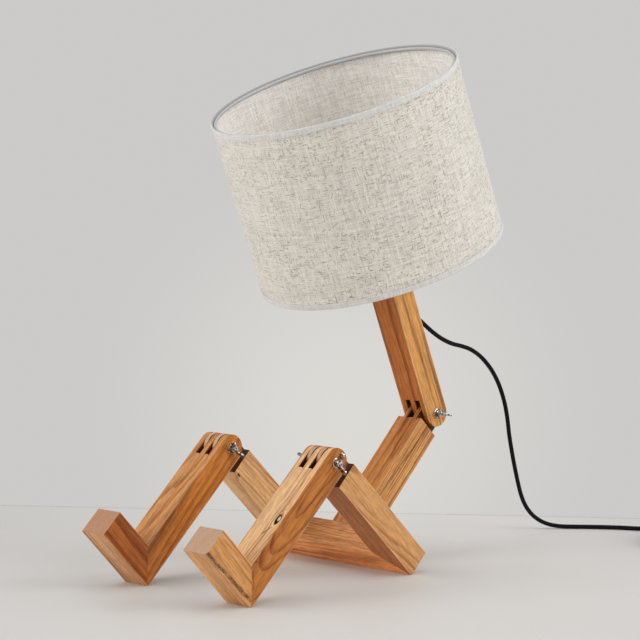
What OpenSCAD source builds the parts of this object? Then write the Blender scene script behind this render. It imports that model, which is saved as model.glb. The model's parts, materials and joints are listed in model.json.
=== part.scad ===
// Robot shaped desk lamp: a seated figure of square timber bars that fold on
// wing-nutted finger joints and carry a drum shade as its head.
// Millimetres, +Z up, X along the joint axes, the figure faces -Y.

/* [Timber] */
// Width of every bar, along the joint axes
bar_w = 30; // [26:0.5:40]
// Thickness of every bar
bar_t = 26; // [22:0.5:32]
// Thigh, from the hip's outer edge to the knee axis
thigh_l = 145; // [130:1:170]
// Shin, from the heel to the knee axis
shin_l = 150; // [135:1:180]
// Foot, from the heel to the toe
foot_l = 71; // [55:1:90]
// Torso, from the hip bar to the neck axis
torso_l = 143; // [120:1:170]
// Neck, from its axis to its top end
neck_l = 185; // [170:1:210]
// Distance between the centres of the two legs
leg_spacing = 135; // [120:1:160]
// Slope of the thighs over the table, in degrees
thigh_slope = 45; // [42:0.5:48]
// Forward lean of the neck, in degrees
neck_lean = 21.3; // [18:0.1:24]
// Depth sanded off the edges that stand on the table
floor_flat = 0.7; // [0.4:0.1:1.2]

/* [Finger joints] */
// Width of a slot between two fingers
slot_w = 6; // [5:0.1:7]
// Side clearance of a tongue in its slot
tongue_gap = 0.5; // [0.3:0.05:0.6]
// Space between a slot's bottom and the tongue's round tip
slot_relief = 5.5; // [4.5:0.1:8]
// Space between a shoulder and the round end that turns in front of it
shoulder_gap = 4.5; // [3.5:0.1:7]
// Dowel diameter
dowel_d = 6; // [5:0.5:8]
// Dowel length in the mitred corners
mitre_dowel_l = 20; // [14:1:22]
// Dowel length under the torso
torso_dowel_l = 30; // [20:1:36]
// Spacing of a pair of dowels along the joint axes
dowel_pitch = 13; // [12:0.5:14]
// Radial clearance of a dowel in its glued hole
glue_gap = 0.05; // [0.02:0.01:0.1]

/* [Wing bolts] */
// Bolt diameter
bolt_d = 4; // [3:0.5:5]
// Radial clearance of a bolt in its holes
bolt_gap = 0.07; // [0.03:0.01:0.1]
// Washer outer diameter
washer_d = 9; // [8.5:0.5:12]
// Washer thickness
washer_t = 0.8; // [0.6:0.1:1.4]
// Hub diameter of a wing nut
hub_d = 7.6; // [7:0.1:9]
// Hub height of a wing nut
hub_h = 4.6; // [4:0.1:7]
// Reach of a wing from the bolt axis
wing_reach = 10; // [9:0.1:13]
// Height of the wings over the nut's seat
wing_h = 10.5; // [9.5:0.1:13]
// Thickness of a wing
wing_t = 1.7; // [1.3:0.1:2.4]
// Bolt end that shows past the nut
bolt_end = 1.6; // [1:0.1:4]

/* [Lampholder and bulb] */
// Threaded tube outer diameter
tube_d = 10; // [9:0.1:11]
// Threaded tube bore
tube_bore = 7; // [6:0.1:7.5]
// Threaded tube depth in the neck
tube_in = 12; // [8:0.5:20]
// Lampholder outer diameter at its cap
holder_d = 28; // [26.5:0.1:29.5]
// Lampholder thread diameter above its flange
holder_thread_d = 26; // [25:0.1:26.2]
// Lampholder height
holder_h = 48; // [46:0.5:52]
// Bulb globe diameter
bulb_d = 45; // [40:0.5:48]
// Bulb length with its cap
bulb_l = 78; // [74:0.5:84]
// Bulb cap diameter over its thread
bulb_cap_d = 13.8; // [13:0.1:13.9]

/* [Shade] */
// Shade outer diameter over its trims
shade_d = 232; // [200:1:250]
// Shade height over its trims
shade_h = 168; // [150:1:180]
// Distance from the neck axis to the shade's lower edge, along the neck
shade_low = 159; // [150:1:165]
// Fabric thickness
fabric_t = 0.7; // [0.4:0.05:1]
// Lining thickness
liner_t = 0.4; // [0.3:0.05:0.8]
// Height of the edge trims
trim_h = 5.5; // [4:0.1:8]
// Thickness of the edge trims
trim_t = 0.6; // [0.4:0.05:1]
// Wire diameter of the shade's rings and arms
wire_d = 3; // [2.5:0.1:4]
// Number of arms that carry the shade
arm_count = 3; // [3:1:4]

/* [Cord] */
// Cord diameter
cord_d = 4.2; // [3.8:0.1:4.6]
// Height of the cord's hole over the neck axis, along the neck
outlet_h = 103; // [95:1:110]
// Angle between the cord's hole and the neck
outlet_tilt = 33; // [30:0.5:36]
// Sleeve length inside the hole
sleeve_in = 9; // [7:0.5:11]
// Sleeve length outside the hole
sleeve_out = 19; // [16:0.5:22]
// Sleeve diameter in the hole
sleeve_d = 8; // [7.5:0.1:8.5]
// Mean radius of the stored coil
coil_r = 25.4; // [24:0.2:28]
// Layers of turns in the coil
coil_layers = 2; // [1:1:2]

/* [Switch] */
// Length of the switch on the cord
switch_l = 62; // [58:1:66]
// Width of the switch
switch_w = 26; // [24:0.5:28]
// Height of the switch's housing
switch_h = 17; // [16:0.5:19]
// Wall of the switch's housing
switch_wall = 1.8; // [1.4:0.1:2.2]
// Length of the rocker
rocker_l = 17; // [14:0.5:18]
// Width of the rocker
rocker_w = 9.6; // [8:0.1:10.4]
// Tilt of the rocker each way, in degrees
rocker_tilt = 7; // [5:0.5:8]

/* [Plug] */
// Width of the plug across its pins
plug_w = 35.3; // [34:0.1:37]
// Thickness of the plug
plug_t = 13.7; // [12.5:0.1:15]
// Length of the plug's body
plug_l = 38; // [34:0.5:42]
// Pin diameter
pin_d = 4; // [3.8:0.05:4.2]
// Pin length outside the body
pin_l = 19; // [17:0.5:20]
// Distance between the pins
pin_pitch = 18.6; // [18:0.1:19.2]
// Bevel on the end of a pin
pin_bevel = 0.8; // [0.4:0.1:1.2]

/* [Hidden] */
$fn = 64;
eps = 0.01;
left = 1;
right = -1;

// Finger joint, in the frame of a bar whose axis hole is at the origin
round_r = bar_t / 2;
finger_w = (bar_w - 2 * slot_w) / 3;
slot_x = (finger_w + slot_w) / 2;
slot_depth = round_r + slot_relief;
shoulder = round_r + shoulder_gap;
bolt_hole_d = bolt_d + 2 * bolt_gap;
nut_seat = bar_w / 2 + washer_t;
wing_tip_r = 2.3;
wing_flare = 40;
hub_taper = 1;
wing_root = 1;
knee_nut_turn_left = 8;
knee_nut_turn_right = 40;
neck_nut_turn = 75;
bolt_turn_left = 101;
bolt_turn_right = 0;
bolt_turn_neck = 0;

// Side view of the figure, as [y, z] with the hip's outer edge at the origin
along_thigh = [-cos(thigh_slope), sin(thigh_slope)];
off_thigh = [sin(thigh_slope), cos(thigh_slope)];
knee_flat = thigh_l * along_thigh + bar_t / 2 * off_thigh;
shin_slope = asin(knee_flat[1] / norm([shin_l, bar_t / 2])) - atan(bar_t / 2 / shin_l);
heel_y = knee_flat[0] - shin_l * cos(shin_slope) + bar_t / 2 * sin(shin_slope);
toe_y = heel_y - foot_l * sin(shin_slope);
neck_flat = (bar_w - bar_t / 2) * along_thigh + (bar_t + torso_l) * off_thigh;
shade_r = shade_d / 2;
shade_back_y = neck_flat[0] - shade_low * sin(neck_lean) + shade_r * cos(neck_lean);
shift = [-(toe_y + shade_back_y) / 2, -floor_flat];
knee = knee_flat + shift;
neck = neck_flat + shift;

// Lampholder and shade, as heights along the neck
cap_h = 16;
flange_h = 4;
cap_wall = 1.6;
cap_floor = 3;
cap_bevel = [3, 4];
cap_fillet = 2;
part_gap = 0.1;
tube_top = 7;
tube_nut_h = 3;
tube_nut_d = tube_d + 5.5;
insert_low = 7.6;
insert_high = cap_h - 1;
contact_h = 2.5;
contact_d = 4;
shell_gap = 0.2;
shell_wall = 0.6;
shell_h = 18;
shell_in_d = bulb_cap_d + 2 * shell_gap;
shell_out_d = shell_in_d + 2 * shell_wall;
mouth_h = 12;
mouth_wall = 2;
spider_t = 1.6;
spider_ring_w = 7;
spider_hub_r = holder_thread_d / 2 + part_gap + spider_ring_w;
arm_root = 1;
clamp_h = 6;
clamp_d = holder_thread_d + 10;
fabric_r = shade_r - trim_t;
liner_r = fabric_r - fabric_t;
wall_in_r = liner_r - liner_t;
ring_r = wall_in_r - trim_t - wire_d / 2;
ring_rise = 1;
ring_inset = trim_t + wire_d / 2 + ring_rise;
lower_ring_z = shade_low + ring_inset;
upper_ring_z = shade_low + shade_h - ring_inset;
spider_z = neck_l + cap_h + flange_h;
bulb_low = neck_l + insert_high + contact_h;
bulb_cap_h = 24;
bulb_tip = [5, 1.6];
bulb_cone = [6, 2];
glass_t = 1;
globe_start = -60;
globe_steps = 20;

// Cord hole in the neck
outlet_run = bar_t / 2 / sin(outlet_tilt);
cord_bend = outlet_h + outlet_run * cos(outlet_tilt);
bore_step = 0.5;
slant_bore = tube_bore - bore_step;
cord_turn_r = 4 * cord_d;
cord_turn_l = cord_turn_r * tan(outlet_tilt / 2);
cord_out = outlet_run + sleeve_out;
inside_route = concat(
    [[0, 0, neck_l + tube_top], [0, 0, cord_bend + 3 * cord_turn_l]],
    [for (q = [0 : outlet_tilt / 3 : outlet_tilt])
        [0, cord_turn_r * (1 - cos(q)), cord_bend + cord_turn_l - cord_turn_r * sin(q)]],
    [[0, cord_out * sin(outlet_tilt), cord_bend - cord_out * cos(outlet_tilt)]]
);
sleeve_tip_wall = 0.8;
sleeve_collar = 1;
sleeve_tip_d = cord_d + 2 * sleeve_tip_wall;
sleeve_hole_d = sleeve_d + 2 * part_gap;
sleeve_bore = cord_d + part_gap;

// Cord on the table: its route, by hand, from the sleeve's tip to the switch
lead_route = [
    [0, 140.3, 220.2], [0, 148, 214.7], [0, 160, 206.4], [0, 173, 199], [0, 187, 193.4], [0, 201, 189.9],
    [0, 214, 185.8], [0, 227, 178.8], [0, 238, 170], [0, 247, 160.4], [0, 254.5, 149.5], [0, 260.5, 137.5],
    [0, 265, 125], [0, 268, 112], [0, 270, 99], [0, 272.8, 86], [0, 276, 73], [0, 279.6, 60],
    [0, 283.4, 47.5], [0.3, 287.2, 36], [1.6, 291.6, 25.4], [4.6, 297, 16.2], [9.6, 303.2, 9.2],
    [16.6, 310.2, 4.6], [25, 317.6, 2.6], [35, 326, 2.2], [47, 335.6, 2.2], [60, 345, 2.2],
    [73, 353.2, 2.2], [86, 359.4, 2.2], [98, 362.8, 2.8], [110, 363.2, 4.5], [121, 361, 6.4],
    [130, 355.8, 7.6], [136, 349.2, 8]
];
// From the switch to the coil
mid_route = [
    [174.6, 303.2, 8], [179.4, 297.5, 7.1], [185, 290.8, 5], [191, 283.7, 3], [197, 276.6, 2.2]
];
// From the coil to the plug
tail_route = [[257, 298.5, 6.6], [257, 309, 6.6], [257, 318, 6.7], [257, 327, 6.8], [257, 336, 6.9]];
cord_r = cord_d / 2;
cord_sides = 10;
turn_pitch = cord_d + part_gap;
coil_turns = 4;
coil_pos = [223, 298.5];
coil_out_r = coil_r + turn_pitch * coil_turns / 2 + cord_r;
coil_in_r = coil_r - turn_pitch * coil_turns / 2 - cord_r;
coil_h = cord_d * coil_layers + part_gap * 3;

// Switch and plug
switch_pos = [155.3, 326.2];
switch_turn = -50;
switch_cord_z = 8;
switch_split = 8;
axle_d = 2.4;
axle_z = 13.2;
boss_w = 2;
boss_l = 8;
rocker_side_gap = 0.3;
boss_y = rocker_w / 2 + rocker_side_gap + boss_w / 2;
screw_d = 3;
screw_head_d = 5.6;
screw_boss_wall = 1;
screw_inset = 9;
screw_aside = 2;
screw_at = [switch_l / 2 - screw_inset, rocker_w / 2 + screw_aside];
screw_spots = [screw_at, -screw_at];
screw_sunk = 0.3;
rocker_gap = 0.7;
rocker_rise = 1.6;
rocker_dip = 1;
rocker_draft = 0.4;
rocker_skirt = 1.4;
rocker_keel = [3, -2.2];
switch_contact = [6, 10, 4];
switch_contact_x = 8;
plug_pos = tail_route[len(tail_route) - 1];
plug_face_l = 14;
plug_shoulder_l = 8;
plug_neck_w = 10;
plug_neck_flare = 1;
pin_in = 8;
pin_root_d = pin_d - 0.8;

// A place in the side view, turned by an angle from upright towards the front
module at(place, angle) {
    translate([0, place[0], place[1]]) rotate([angle, 0, 0]) children();
}

module in_thigh() { at(knee, 90 - thigh_slope) children(); }
module in_shin() { at(knee, shin_slope - 90) children(); }
module in_torso() { at(neck, -thigh_slope) children(); }
module in_neck() { at(neck, neck_lean) children(); }
module in_leg(side) { translate([side * leg_spacing / 2, 0, 0]) children(); }

// A rod along X through the origin
module x_rod(d, length) {
    rotate([0, 90, 0]) cylinder(h = length, d = d, center = true);
}

// An outline drawn as [x, z], as thick as a bar
module front_plate(outline) {
    rotate([90, 0, 0]) linear_extrude(bar_t, center = true) polygon(outline);
}

// An outline drawn as [y, z], as wide as a bar
module side_plate(outline) {
    rotate([90, 0, 90]) linear_extrude(bar_w, center = true) polygon(outline);
}

module below_table() {
    reach = 400;
    translate([-reach, -reach, -reach]) cube([2 * reach, 2 * reach, reach]);
}

// Two tongues that stand on a shoulder at z = -shoulder and turn on the axis hole
module tongues() {
    w = slot_w - 2 * tongue_gap;
    for (x = [-slot_x, slot_x]) translate([x, 0, 0]) {
        x_rod(bar_t, w);
        translate([-w / 2, -bar_t / 2, -shoulder - eps]) cube([w, bar_t, shoulder + eps]);
    }
}

// The two slots between three fingers, for a bar that runs down from the axis hole
module slots() {
    for (x = [-slot_x, slot_x])
        translate([x - slot_w / 2, -bar_t, -slot_depth]) cube([slot_w, 2 * bar_t, slot_depth + bar_t]);
}

module mitre_dowel(clearance) {
    cylinder(h = mitre_dowel_l + 2 * clearance, d = dowel_d + 2 * clearance, center = true);
}

// Dowels across the mitred corner of the hip and a thigh, one behind the other
module hip_corner_dowels(side, clearance) {
    in_thigh() translate([side * leg_spacing / 2, 0, -thigh_l + bar_w / 2])
        for (y = [-dowel_pitch, dowel_pitch] / 2)
            translate([0, y, 0]) rotate([0, side * 45, 0]) mitre_dowel(clearance);
}

// Dowels across the mitred corner of a shin and its foot, side by side
module heel_corner_dowels(side, clearance) {
    in_leg(side) in_shin() translate([0, 0, -shin_l + bar_t / 2])
        for (x = [-dowel_pitch, dowel_pitch] / 2)
            translate([x, 0, 0]) rotate([-45, 0, 0]) mitre_dowel(clearance);
}

module torso_foot_dowels(clearance) {
    in_torso() for (x = [-dowel_pitch, dowel_pitch] / 2)
        translate([x, 0, -torso_l])
            cylinder(h = torso_dowel_l + 2 * clearance, d = dowel_d + 2 * clearance, center = true);
}

module hip_bar() {
    color("peru") difference() {
        in_thigh() front_plate([
            [-leg_spacing / 2 - bar_w / 2, -thigh_l], [leg_spacing / 2 + bar_w / 2, -thigh_l],
            [leg_spacing / 2 - bar_w / 2, -thigh_l + bar_w], [-leg_spacing / 2 + bar_w / 2, -thigh_l + bar_w]
        ]);
        hip_corner_dowels(left, glue_gap);
        hip_corner_dowels(right, glue_gap);
        torso_foot_dowels(glue_gap);
        below_table();
    }
}

module thigh(side) {
    color("burlywood") difference() {
        in_leg(side) in_thigh() difference() {
            union() {
                front_plate([
                    [side * bar_w / 2, -thigh_l], [side * bar_w / 2, -shoulder],
                    [-side * bar_w / 2, -shoulder], [-side * bar_w / 2, -thigh_l + bar_w]
                ]);
                tongues();
            }
            x_rod(bolt_hole_d, 2 * bar_w);
        }
        hip_corner_dowels(side, glue_gap);
        below_table();
    }
}

module thigh_left() { thigh(left); }
module thigh_right() { thigh(right); }

module torso_bar() {
    color("sandybrown") difference() {
        in_torso() difference() {
            union() {
                translate([-bar_w / 2, -bar_t / 2, -torso_l]) cube([bar_w, bar_t, torso_l - shoulder]);
                tongues();
            }
            x_rod(bolt_hole_d, 2 * bar_w);
        }
        torso_foot_dowels(glue_gap);
    }
}

module hip_dowels() {
    color("wheat") {
        hip_corner_dowels(left, 0);
        hip_corner_dowels(right, 0);
    }
}

module torso_dowels() { color("wheat") torso_foot_dowels(0); }

module shin(side) {
    color("peru") difference() {
        in_leg(side) in_shin() difference() {
            union() {
                side_plate([
                    [bar_t / 2, -shin_l], [bar_t / 2, 0], [-bar_t / 2, 0], [-bar_t / 2, -shin_l + bar_t]
                ]);
                x_rod(bar_t, bar_w);
            }
            slots();
            x_rod(bolt_hole_d, 2 * bar_w);
        }
        heel_corner_dowels(side, glue_gap);
        below_table();
    }
}

module shin_left() { shin(left); }
module shin_right() { shin(right); }

module foot(side) {
    color("sandybrown") difference() {
        in_leg(side) in_shin() side_plate([
            [bar_t / 2, -shin_l], [-bar_t / 2, -shin_l + bar_t],
            [bar_t / 2 - foot_l, -shin_l + bar_t], [bar_t / 2 - foot_l, -shin_l]
        ]);
        heel_corner_dowels(side, glue_gap);
        below_table();
    }
}

module foot_left() { foot(left); }
module foot_right() { foot(right); }
module heel_dowels_left() { color("wheat") heel_corner_dowels(left, 0); }
module heel_dowels_right() { color("wheat") heel_corner_dowels(right, 0); }

// Hub and two flared wings, seated at z = 0 and rising along +Z
module wing_head() {
    tip = [wing_reach - wing_tip_r, wing_h - wing_tip_r];
    flare = wing_tip_r * [cos(wing_flare), -sin(wing_flare)];
    cylinder(h = hub_h, d1 = hub_d, d2 = hub_d - hub_taper);
    for (turn = [0, 180]) rotate([0, 0, turn]) rotate([90, 0, 0]) linear_extrude(wing_t, center = true) {
        translate(tip) circle(r = wing_tip_r);
        polygon([
            [hub_d / 4, wing_root], [hub_d / 2, wing_root], tip + flare, tip - flare, [hub_d / 4, hub_h]
        ]);
    }
}

// A wing bolt through a finger joint, its wings on the figure's right
module wing_bolt(turn) {
    color("silver") {
        translate([-nut_seat, 0, 0]) rotate([turn, 0, 0]) rotate([0, -90, 0]) wing_head();
        translate([-nut_seat - eps, 0, 0]) rotate([0, 90, 0])
            cylinder(h = 2 * nut_seat + hub_h + bolt_end, d = bolt_d);
    }
}

module washer_pair() {
    color("gainsboro") for (side = [left, right])
        translate([side * (bar_w + washer_t) / 2, 0, 0]) difference() {
            x_rod(washer_d, washer_t);
            x_rod(bolt_hole_d, 2 * washer_t);
        }
}

module wing_nut(turn) {
    color("silver") translate([nut_seat, 0, 0]) difference() {
        rotate([turn, 0, 0]) rotate([0, 90, 0]) wing_head();
        x_rod(bolt_hole_d, 4 * wing_h);
    }
}

module knee_bolt_left() { in_leg(left) in_shin() wing_bolt(bolt_turn_left); }
module knee_bolt_right() { in_leg(right) in_shin() wing_bolt(bolt_turn_right); }
module neck_bolt() { in_neck() wing_bolt(bolt_turn_neck); }
module knee_washers_left() { in_leg(left) in_shin() washer_pair(); }
module knee_washers_right() { in_leg(right) in_shin() washer_pair(); }
module neck_washers() { in_neck() washer_pair(); }
module knee_nut_left() { in_leg(left) at(knee, 0) wing_nut(knee_nut_turn_left); }
module knee_nut_right() { in_leg(right) at(knee, 0) wing_nut(knee_nut_turn_right); }
module neck_nut() { at(neck, 0) wing_nut(neck_nut_turn); }

// The cord hole's mouth on the back of the neck, with +Z pointing out of it
module at_outlet() {
    translate([0, bar_t / 2, outlet_h]) rotate([-180 + outlet_tilt, 0, 0]) children();
}

module neck_bar() {
    color("chocolate") in_neck() difference() {
        union() {
            translate([-bar_w / 2, -bar_t / 2, 0]) cube([bar_w, bar_t, neck_l]);
            x_rod(bar_t, bar_w);
        }
        mirror([0, 0, 1]) slots();
        x_rod(bolt_hole_d, 2 * bar_w);
        translate([0, 0, cord_bend - tube_bore / 2]) cylinder(h = neck_l, d = tube_bore);
        translate([0, 0, neck_l - tube_in]) cylinder(h = neck_l, d = tube_d + part_gap);
        at_outlet() translate([0, 0, -outlet_run]) cylinder(h = outlet_run + bar_t, d = slant_bore);
        at_outlet() translate([0, 0, -sleeve_in]) cylinder(h = sleeve_in + bar_t, d = sleeve_hole_d);
    }
}

module cord_sleeve() {
    color("dimgray") in_neck() at_outlet() rotate_extrude() polygon([
        [sleeve_bore / 2, -sleeve_in], [sleeve_d / 2, -sleeve_in], [sleeve_d / 2, sleeve_collar],
        [sleeve_tip_d / 2, sleeve_out], [sleeve_bore / 2, sleeve_out]
    ]);
}

module cord_inside() { in_neck() cord_tube(inside_route, [1, 0, 0]); }

module threaded_tube() {
    color("goldenrod") in_neck() translate([0, 0, neck_l - tube_in]) difference() {
        cylinder(h = tube_in + tube_top, d = tube_d);
        translate([0, 0, -eps]) cylinder(h = tube_in + tube_top + 1, d = tube_bore);
    }
}

module tube_nut() {
    color("gold") in_neck() translate([0, 0, neck_l + cap_floor]) difference() {
        cylinder(h = tube_nut_h, d = tube_nut_d, $fn = 6);
        translate([0, 0, -eps]) cylinder(h = tube_nut_h + 1, d = tube_d + part_gap);
    }
}

module lampholder_cap() {
    r = holder_d / 2;
    hole = (tube_d + part_gap) / 2;
    color("whitesmoke") in_neck() translate([0, 0, neck_l]) rotate_extrude() polygon([
        [hole, 0], [r - cap_bevel[0], 0], [r, cap_bevel[1]], [r, cap_h], [r - cap_wall, cap_h],
        [r - cap_wall, cap_floor + cap_fillet], [r - cap_wall - cap_fillet, cap_floor], [hole, cap_floor]
    ]);
}

module lampholder_insert() {
    color("white") in_neck() translate([0, 0, neck_l + insert_low])
        cylinder(h = insert_high - insert_low, r = holder_d / 2 - cap_wall - part_gap);
}

module lampholder_contact() {
    color("gold") in_neck() translate([0, 0, neck_l + insert_high]) cylinder(h = contact_h, d = contact_d);
}

module lampholder_shell() {
    color("gold") in_neck() translate([0, 0, neck_l + insert_high]) difference() {
        cylinder(h = shell_h, d = shell_out_d);
        translate([0, 0, -eps]) cylinder(h = shell_h + 1, d = shell_in_d);
    }
}

module lampholder_body() {
    r_in = shell_out_d / 2 + part_gap;
    r_mouth = holder_thread_d / 2 - mouth_wall;
    color("whitesmoke") in_neck() translate([0, 0, neck_l]) rotate_extrude() polygon([
        [r_in, cap_h], [holder_d / 2, cap_h], [holder_d / 2, cap_h + flange_h],
        [holder_thread_d / 2, cap_h + flange_h], [holder_thread_d / 2, holder_h], [r_mouth, holder_h],
        [r_mouth, holder_h - mouth_h], [r_in, holder_h - mouth_h]
    ]);
}

module clamp_ring() {
    color("whitesmoke") in_neck() translate([0, 0, spider_z + spider_t]) difference() {
        cylinder(h = clamp_h, d = clamp_d);
        translate([0, 0, -eps]) cylinder(h = clamp_h + 1, d = holder_thread_d + part_gap);
    }
}

// Washer that the lampholder clamps, with its arms sloping down to the lower ring
module shade_spider() {
    arm_r = spider_hub_r - arm_root;
    top = spider_z + spider_t / 2;
    drop = top - lower_ring_z;
    run = ring_r - arm_r;
    color("white") in_neck() {
        translate([0, 0, spider_z]) difference() {
            cylinder(h = spider_t, r = spider_hub_r);
            translate([0, 0, -eps]) cylinder(h = spider_t + 1, d = holder_thread_d + 2 * part_gap);
        }
        for (i = [0 : arm_count - 1]) rotate([0, 0, 90 + i * 360 / arm_count])
            translate([arm_r, 0, top]) rotate([0, 90 + atan(drop / run), 0])
                cylinder(h = norm([drop, run]), d = wire_d);
    }
}

module wire_ring(z) {
    color("white") in_neck() translate([0, 0, z]) rotate_extrude($fn = 96)
        translate([ring_r, 0]) circle(d = wire_d, $fn = 24);
}

module lower_ring() { wire_ring(lower_ring_z); }
module upper_ring() { wire_ring(upper_ring_z); }

// A tube of the shade's wall between its two trims' folds
module shade_wall(r_out, wall) {
    in_neck() translate([0, 0, shade_low + trim_t]) difference() {
        cylinder(h = shade_h - 2 * trim_t, r = r_out, $fn = 128);
        translate([0, 0, -1]) cylinder(h = shade_h + 2, r = r_out - wall, $fn = 128);
    }
}

module shade_liner() { color("ivory") shade_wall(liner_r, liner_t); }
module shade_fabric() { color("antiquewhite") shade_wall(fabric_r, fabric_t); }

// Tape folded over the edge of the wall, opening along +Z
module trim_fold() {
    r_in = wall_in_r - trim_t;
    color("snow") rotate_extrude($fn = 128) polygon([
        [r_in, 0], [shade_r, 0], [shade_r, trim_h], [fabric_r, trim_h],
        [fabric_r, trim_t], [wall_in_r, trim_t], [wall_in_r, trim_h], [r_in, trim_h]
    ]);
}

module lower_trim() { in_neck() translate([0, 0, shade_low]) trim_fold(); }
module upper_trim() { in_neck() translate([0, 0, shade_low + shade_h]) mirror([0, 0, 1]) trim_fold(); }

module bulb_cap() {
    cone_low = bulb_tip[1];
    sleeve_low = cone_low + bulb_cone[1];
    color("silver") in_neck() translate([0, 0, bulb_low]) {
        cylinder(h = cone_low + eps, d = bulb_tip[0]);
        translate([0, 0, cone_low]) cylinder(h = bulb_cone[1], d1 = bulb_cone[0], d2 = bulb_cap_d);
        translate([0, 0, sleeve_low - eps]) cylinder(h = bulb_cap_h - sleeve_low, d = bulb_cap_d);
    }
}

// Half outline of the globe: a neck that flares into a ball
function globe(r, neck_r, z_mid, low) =
    let (step = (90 - globe_start) / globe_steps)
    concat([[neck_r, low]],
        [for (q = [globe_start : step : 90]) [r * cos(q), z_mid + r * sin(q)]]);

module bulb_glass() {
    r = bulb_d / 2;
    z_mid = bulb_l - r;
    neck_r = bulb_cap_d / 2 - 0.3;
    low = bulb_cap_h - eps;
    outer = globe(r, neck_r, z_mid, low);
    inner = globe(r - glass_t, neck_r - glass_t, z_mid, low);
    last = len(inner) - 1;
    color("floralwhite") in_neck() translate([0, 0, bulb_low])
        rotate_extrude() polygon(concat(outer, [for (i = [0 : last]) inner[last - i]]));
}

// Tube swept along a route, one ring of points for each of the route's points
function unit(v) = v / norm(v);
function heading(route, i) =
    unit(route[min(i + 1, len(route) - 1)] - route[max(i - 1, 0)]);
function ring_at(route, i, aside) =
    let (ahead = heading(route, i), u = unit(cross(ahead, aside)), v = cross(ahead, u))
    [for (k = [0 : cord_sides - 1]) let (q = 360 * k / cord_sides)
        route[i] + cord_r * (cos(q) * u + sin(q) * v)];

module cord_tube(route, aside) {
    n = cord_sides;
    last = len(route) - 1;
    points = [for (i = [0 : last]) each ring_at(route, i, aside)];
    sides = [for (i = [0 : last - 1], k = [0 : n - 1])
        let (a = i * n + k, b = i * n + (k + 1) % n) each [[a, a + n, b], [b, a + n, b + n]]];
    start = [[for (k = [0 : n - 1]) k]];
    end = [[for (k = [0 : n - 1]) last * n + n - 1 - k]];
    color("black") polyhedron(points, concat(start, sides, end));
}

module cord_lead() { cord_tube(lead_route, [-1, 0, 1]); }
module cord_mid() { cord_tube(mid_route, [0, 0, 1]); }
module cord_tail() { cord_tube(tail_route, [0, 0, 1]); }

module cord_coil() {
    color("black") translate([coil_pos[0], coil_pos[1], 0]) rotate_extrude($fn = 48)
        translate([coil_in_r, 0]) square([coil_out_r - coil_in_r, coil_h]);
}

module at_switch() {
    translate([switch_pos[0], switch_pos[1], 0]) rotate([0, 0, switch_turn]) children();
}

// Outline of the switch with round ends, drawn in by an inset
module switch_outline(inset) {
    r = switch_w / 2 - inset;
    for (side = [left, right]) translate([side * (switch_l - switch_w) / 2, 0]) circle(r = r);
    square([switch_l - switch_w, 2 * r], center = true);
}

module switch_cord_holes() {
    translate([0, 0, switch_cord_z]) x_rod(cord_d + part_gap, 2 * switch_l);
}

module switch_base() {
    color("black") at_switch() difference() {
        union() {
            difference() {
                linear_extrude(switch_split) switch_outline(0);
                translate([0, 0, switch_wall]) linear_extrude(switch_split) switch_outline(switch_wall);
            }
            for (spot = screw_spots) translate([spot[0], spot[1], switch_wall / 2])
                cylinder(h = switch_split - switch_wall / 2, d = screw_head_d + 2 * screw_boss_wall);
        }
        switch_cord_holes();
        for (spot = screw_spots) translate([spot[0], spot[1], -1]) {
            cylinder(h = switch_h, d = screw_d + part_gap);
            cylinder(h = 1 + switch_wall, d = screw_head_d + part_gap);
        }
    }
}

module switch_cover() {
    color("black") at_switch() difference() {
        union() {
            difference() {
                translate([0, 0, switch_split]) linear_extrude(switch_h - switch_split) switch_outline(0);
                translate([0, 0, switch_split - 1])
                    linear_extrude(switch_h - switch_split + 1 - switch_wall) switch_outline(switch_wall);
            }
            for (side = [left, right])
                translate([-boss_l / 2, side * boss_y - boss_w / 2, axle_z - axle_d])
                    cube([boss_l, boss_w, switch_h - axle_z + axle_d - switch_wall / 2]);
            for (spot = screw_spots) translate([spot[0], spot[1], switch_split])
                cylinder(h = switch_h - switch_split - switch_wall / 2, d = screw_d + 3 * screw_boss_wall);
        }
        switch_cord_holes();
        translate([-rocker_l / 2 - rocker_gap, -rocker_w / 2 - rocker_side_gap, 0])
            cube([rocker_l + 2 * rocker_gap, rocker_w + 2 * rocker_side_gap, 2 * switch_h]);
        translate([0, 0, axle_z]) rotate([90, 0, 0])
            cylinder(h = rocker_w + 4 * boss_w, d = axle_d + 2 * bolt_gap, center = true);
        for (spot = screw_spots) translate([spot[0], spot[1], 0])
            cylinder(h = switch_h - switch_wall, d = screw_d + part_gap);
    }
}

// A rocker whose two faces meet over its axle, resting with one end down
module switch_rocker() {
    top = switch_h - axle_z + rocker_rise;
    color("dimgray") at_switch() translate([0, 0, axle_z]) rotate([0, -rocker_tilt, 0]) {
        rotate([90, 0, 0]) linear_extrude(rocker_w, center = true) polygon([
            [-rocker_l / 2 + rocker_draft, rocker_skirt], [-rocker_keel[0], rocker_keel[1]], rocker_keel,
            [rocker_l / 2 - rocker_draft, rocker_skirt],
            [rocker_l / 2, top], [0, top - rocker_dip], [-rocker_l / 2, top]
        ]);
        rotate([90, 0, 0]) cylinder(h = 2 * boss_y + boss_w - rocker_side_gap, d = axle_d, center = true);
    }
}

module switch_contacts() {
    color("gold") at_switch() for (side = [left, right])
        translate([side * switch_contact_x, 0, switch_wall + switch_contact[2] / 2])
            cube(switch_contact, center = true);
}

module switch_screws() {
    color("silver") at_switch() for (spot = screw_spots) translate([spot[0], spot[1], screw_sunk]) {
        cylinder(h = switch_wall - screw_sunk, d = screw_head_d);
        cylinder(h = switch_h - 2 * switch_wall, d = screw_d);
    }
}

module at_plug() {
    translate([plug_pos[0], plug_pos[1], 0]) children();
}

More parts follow.
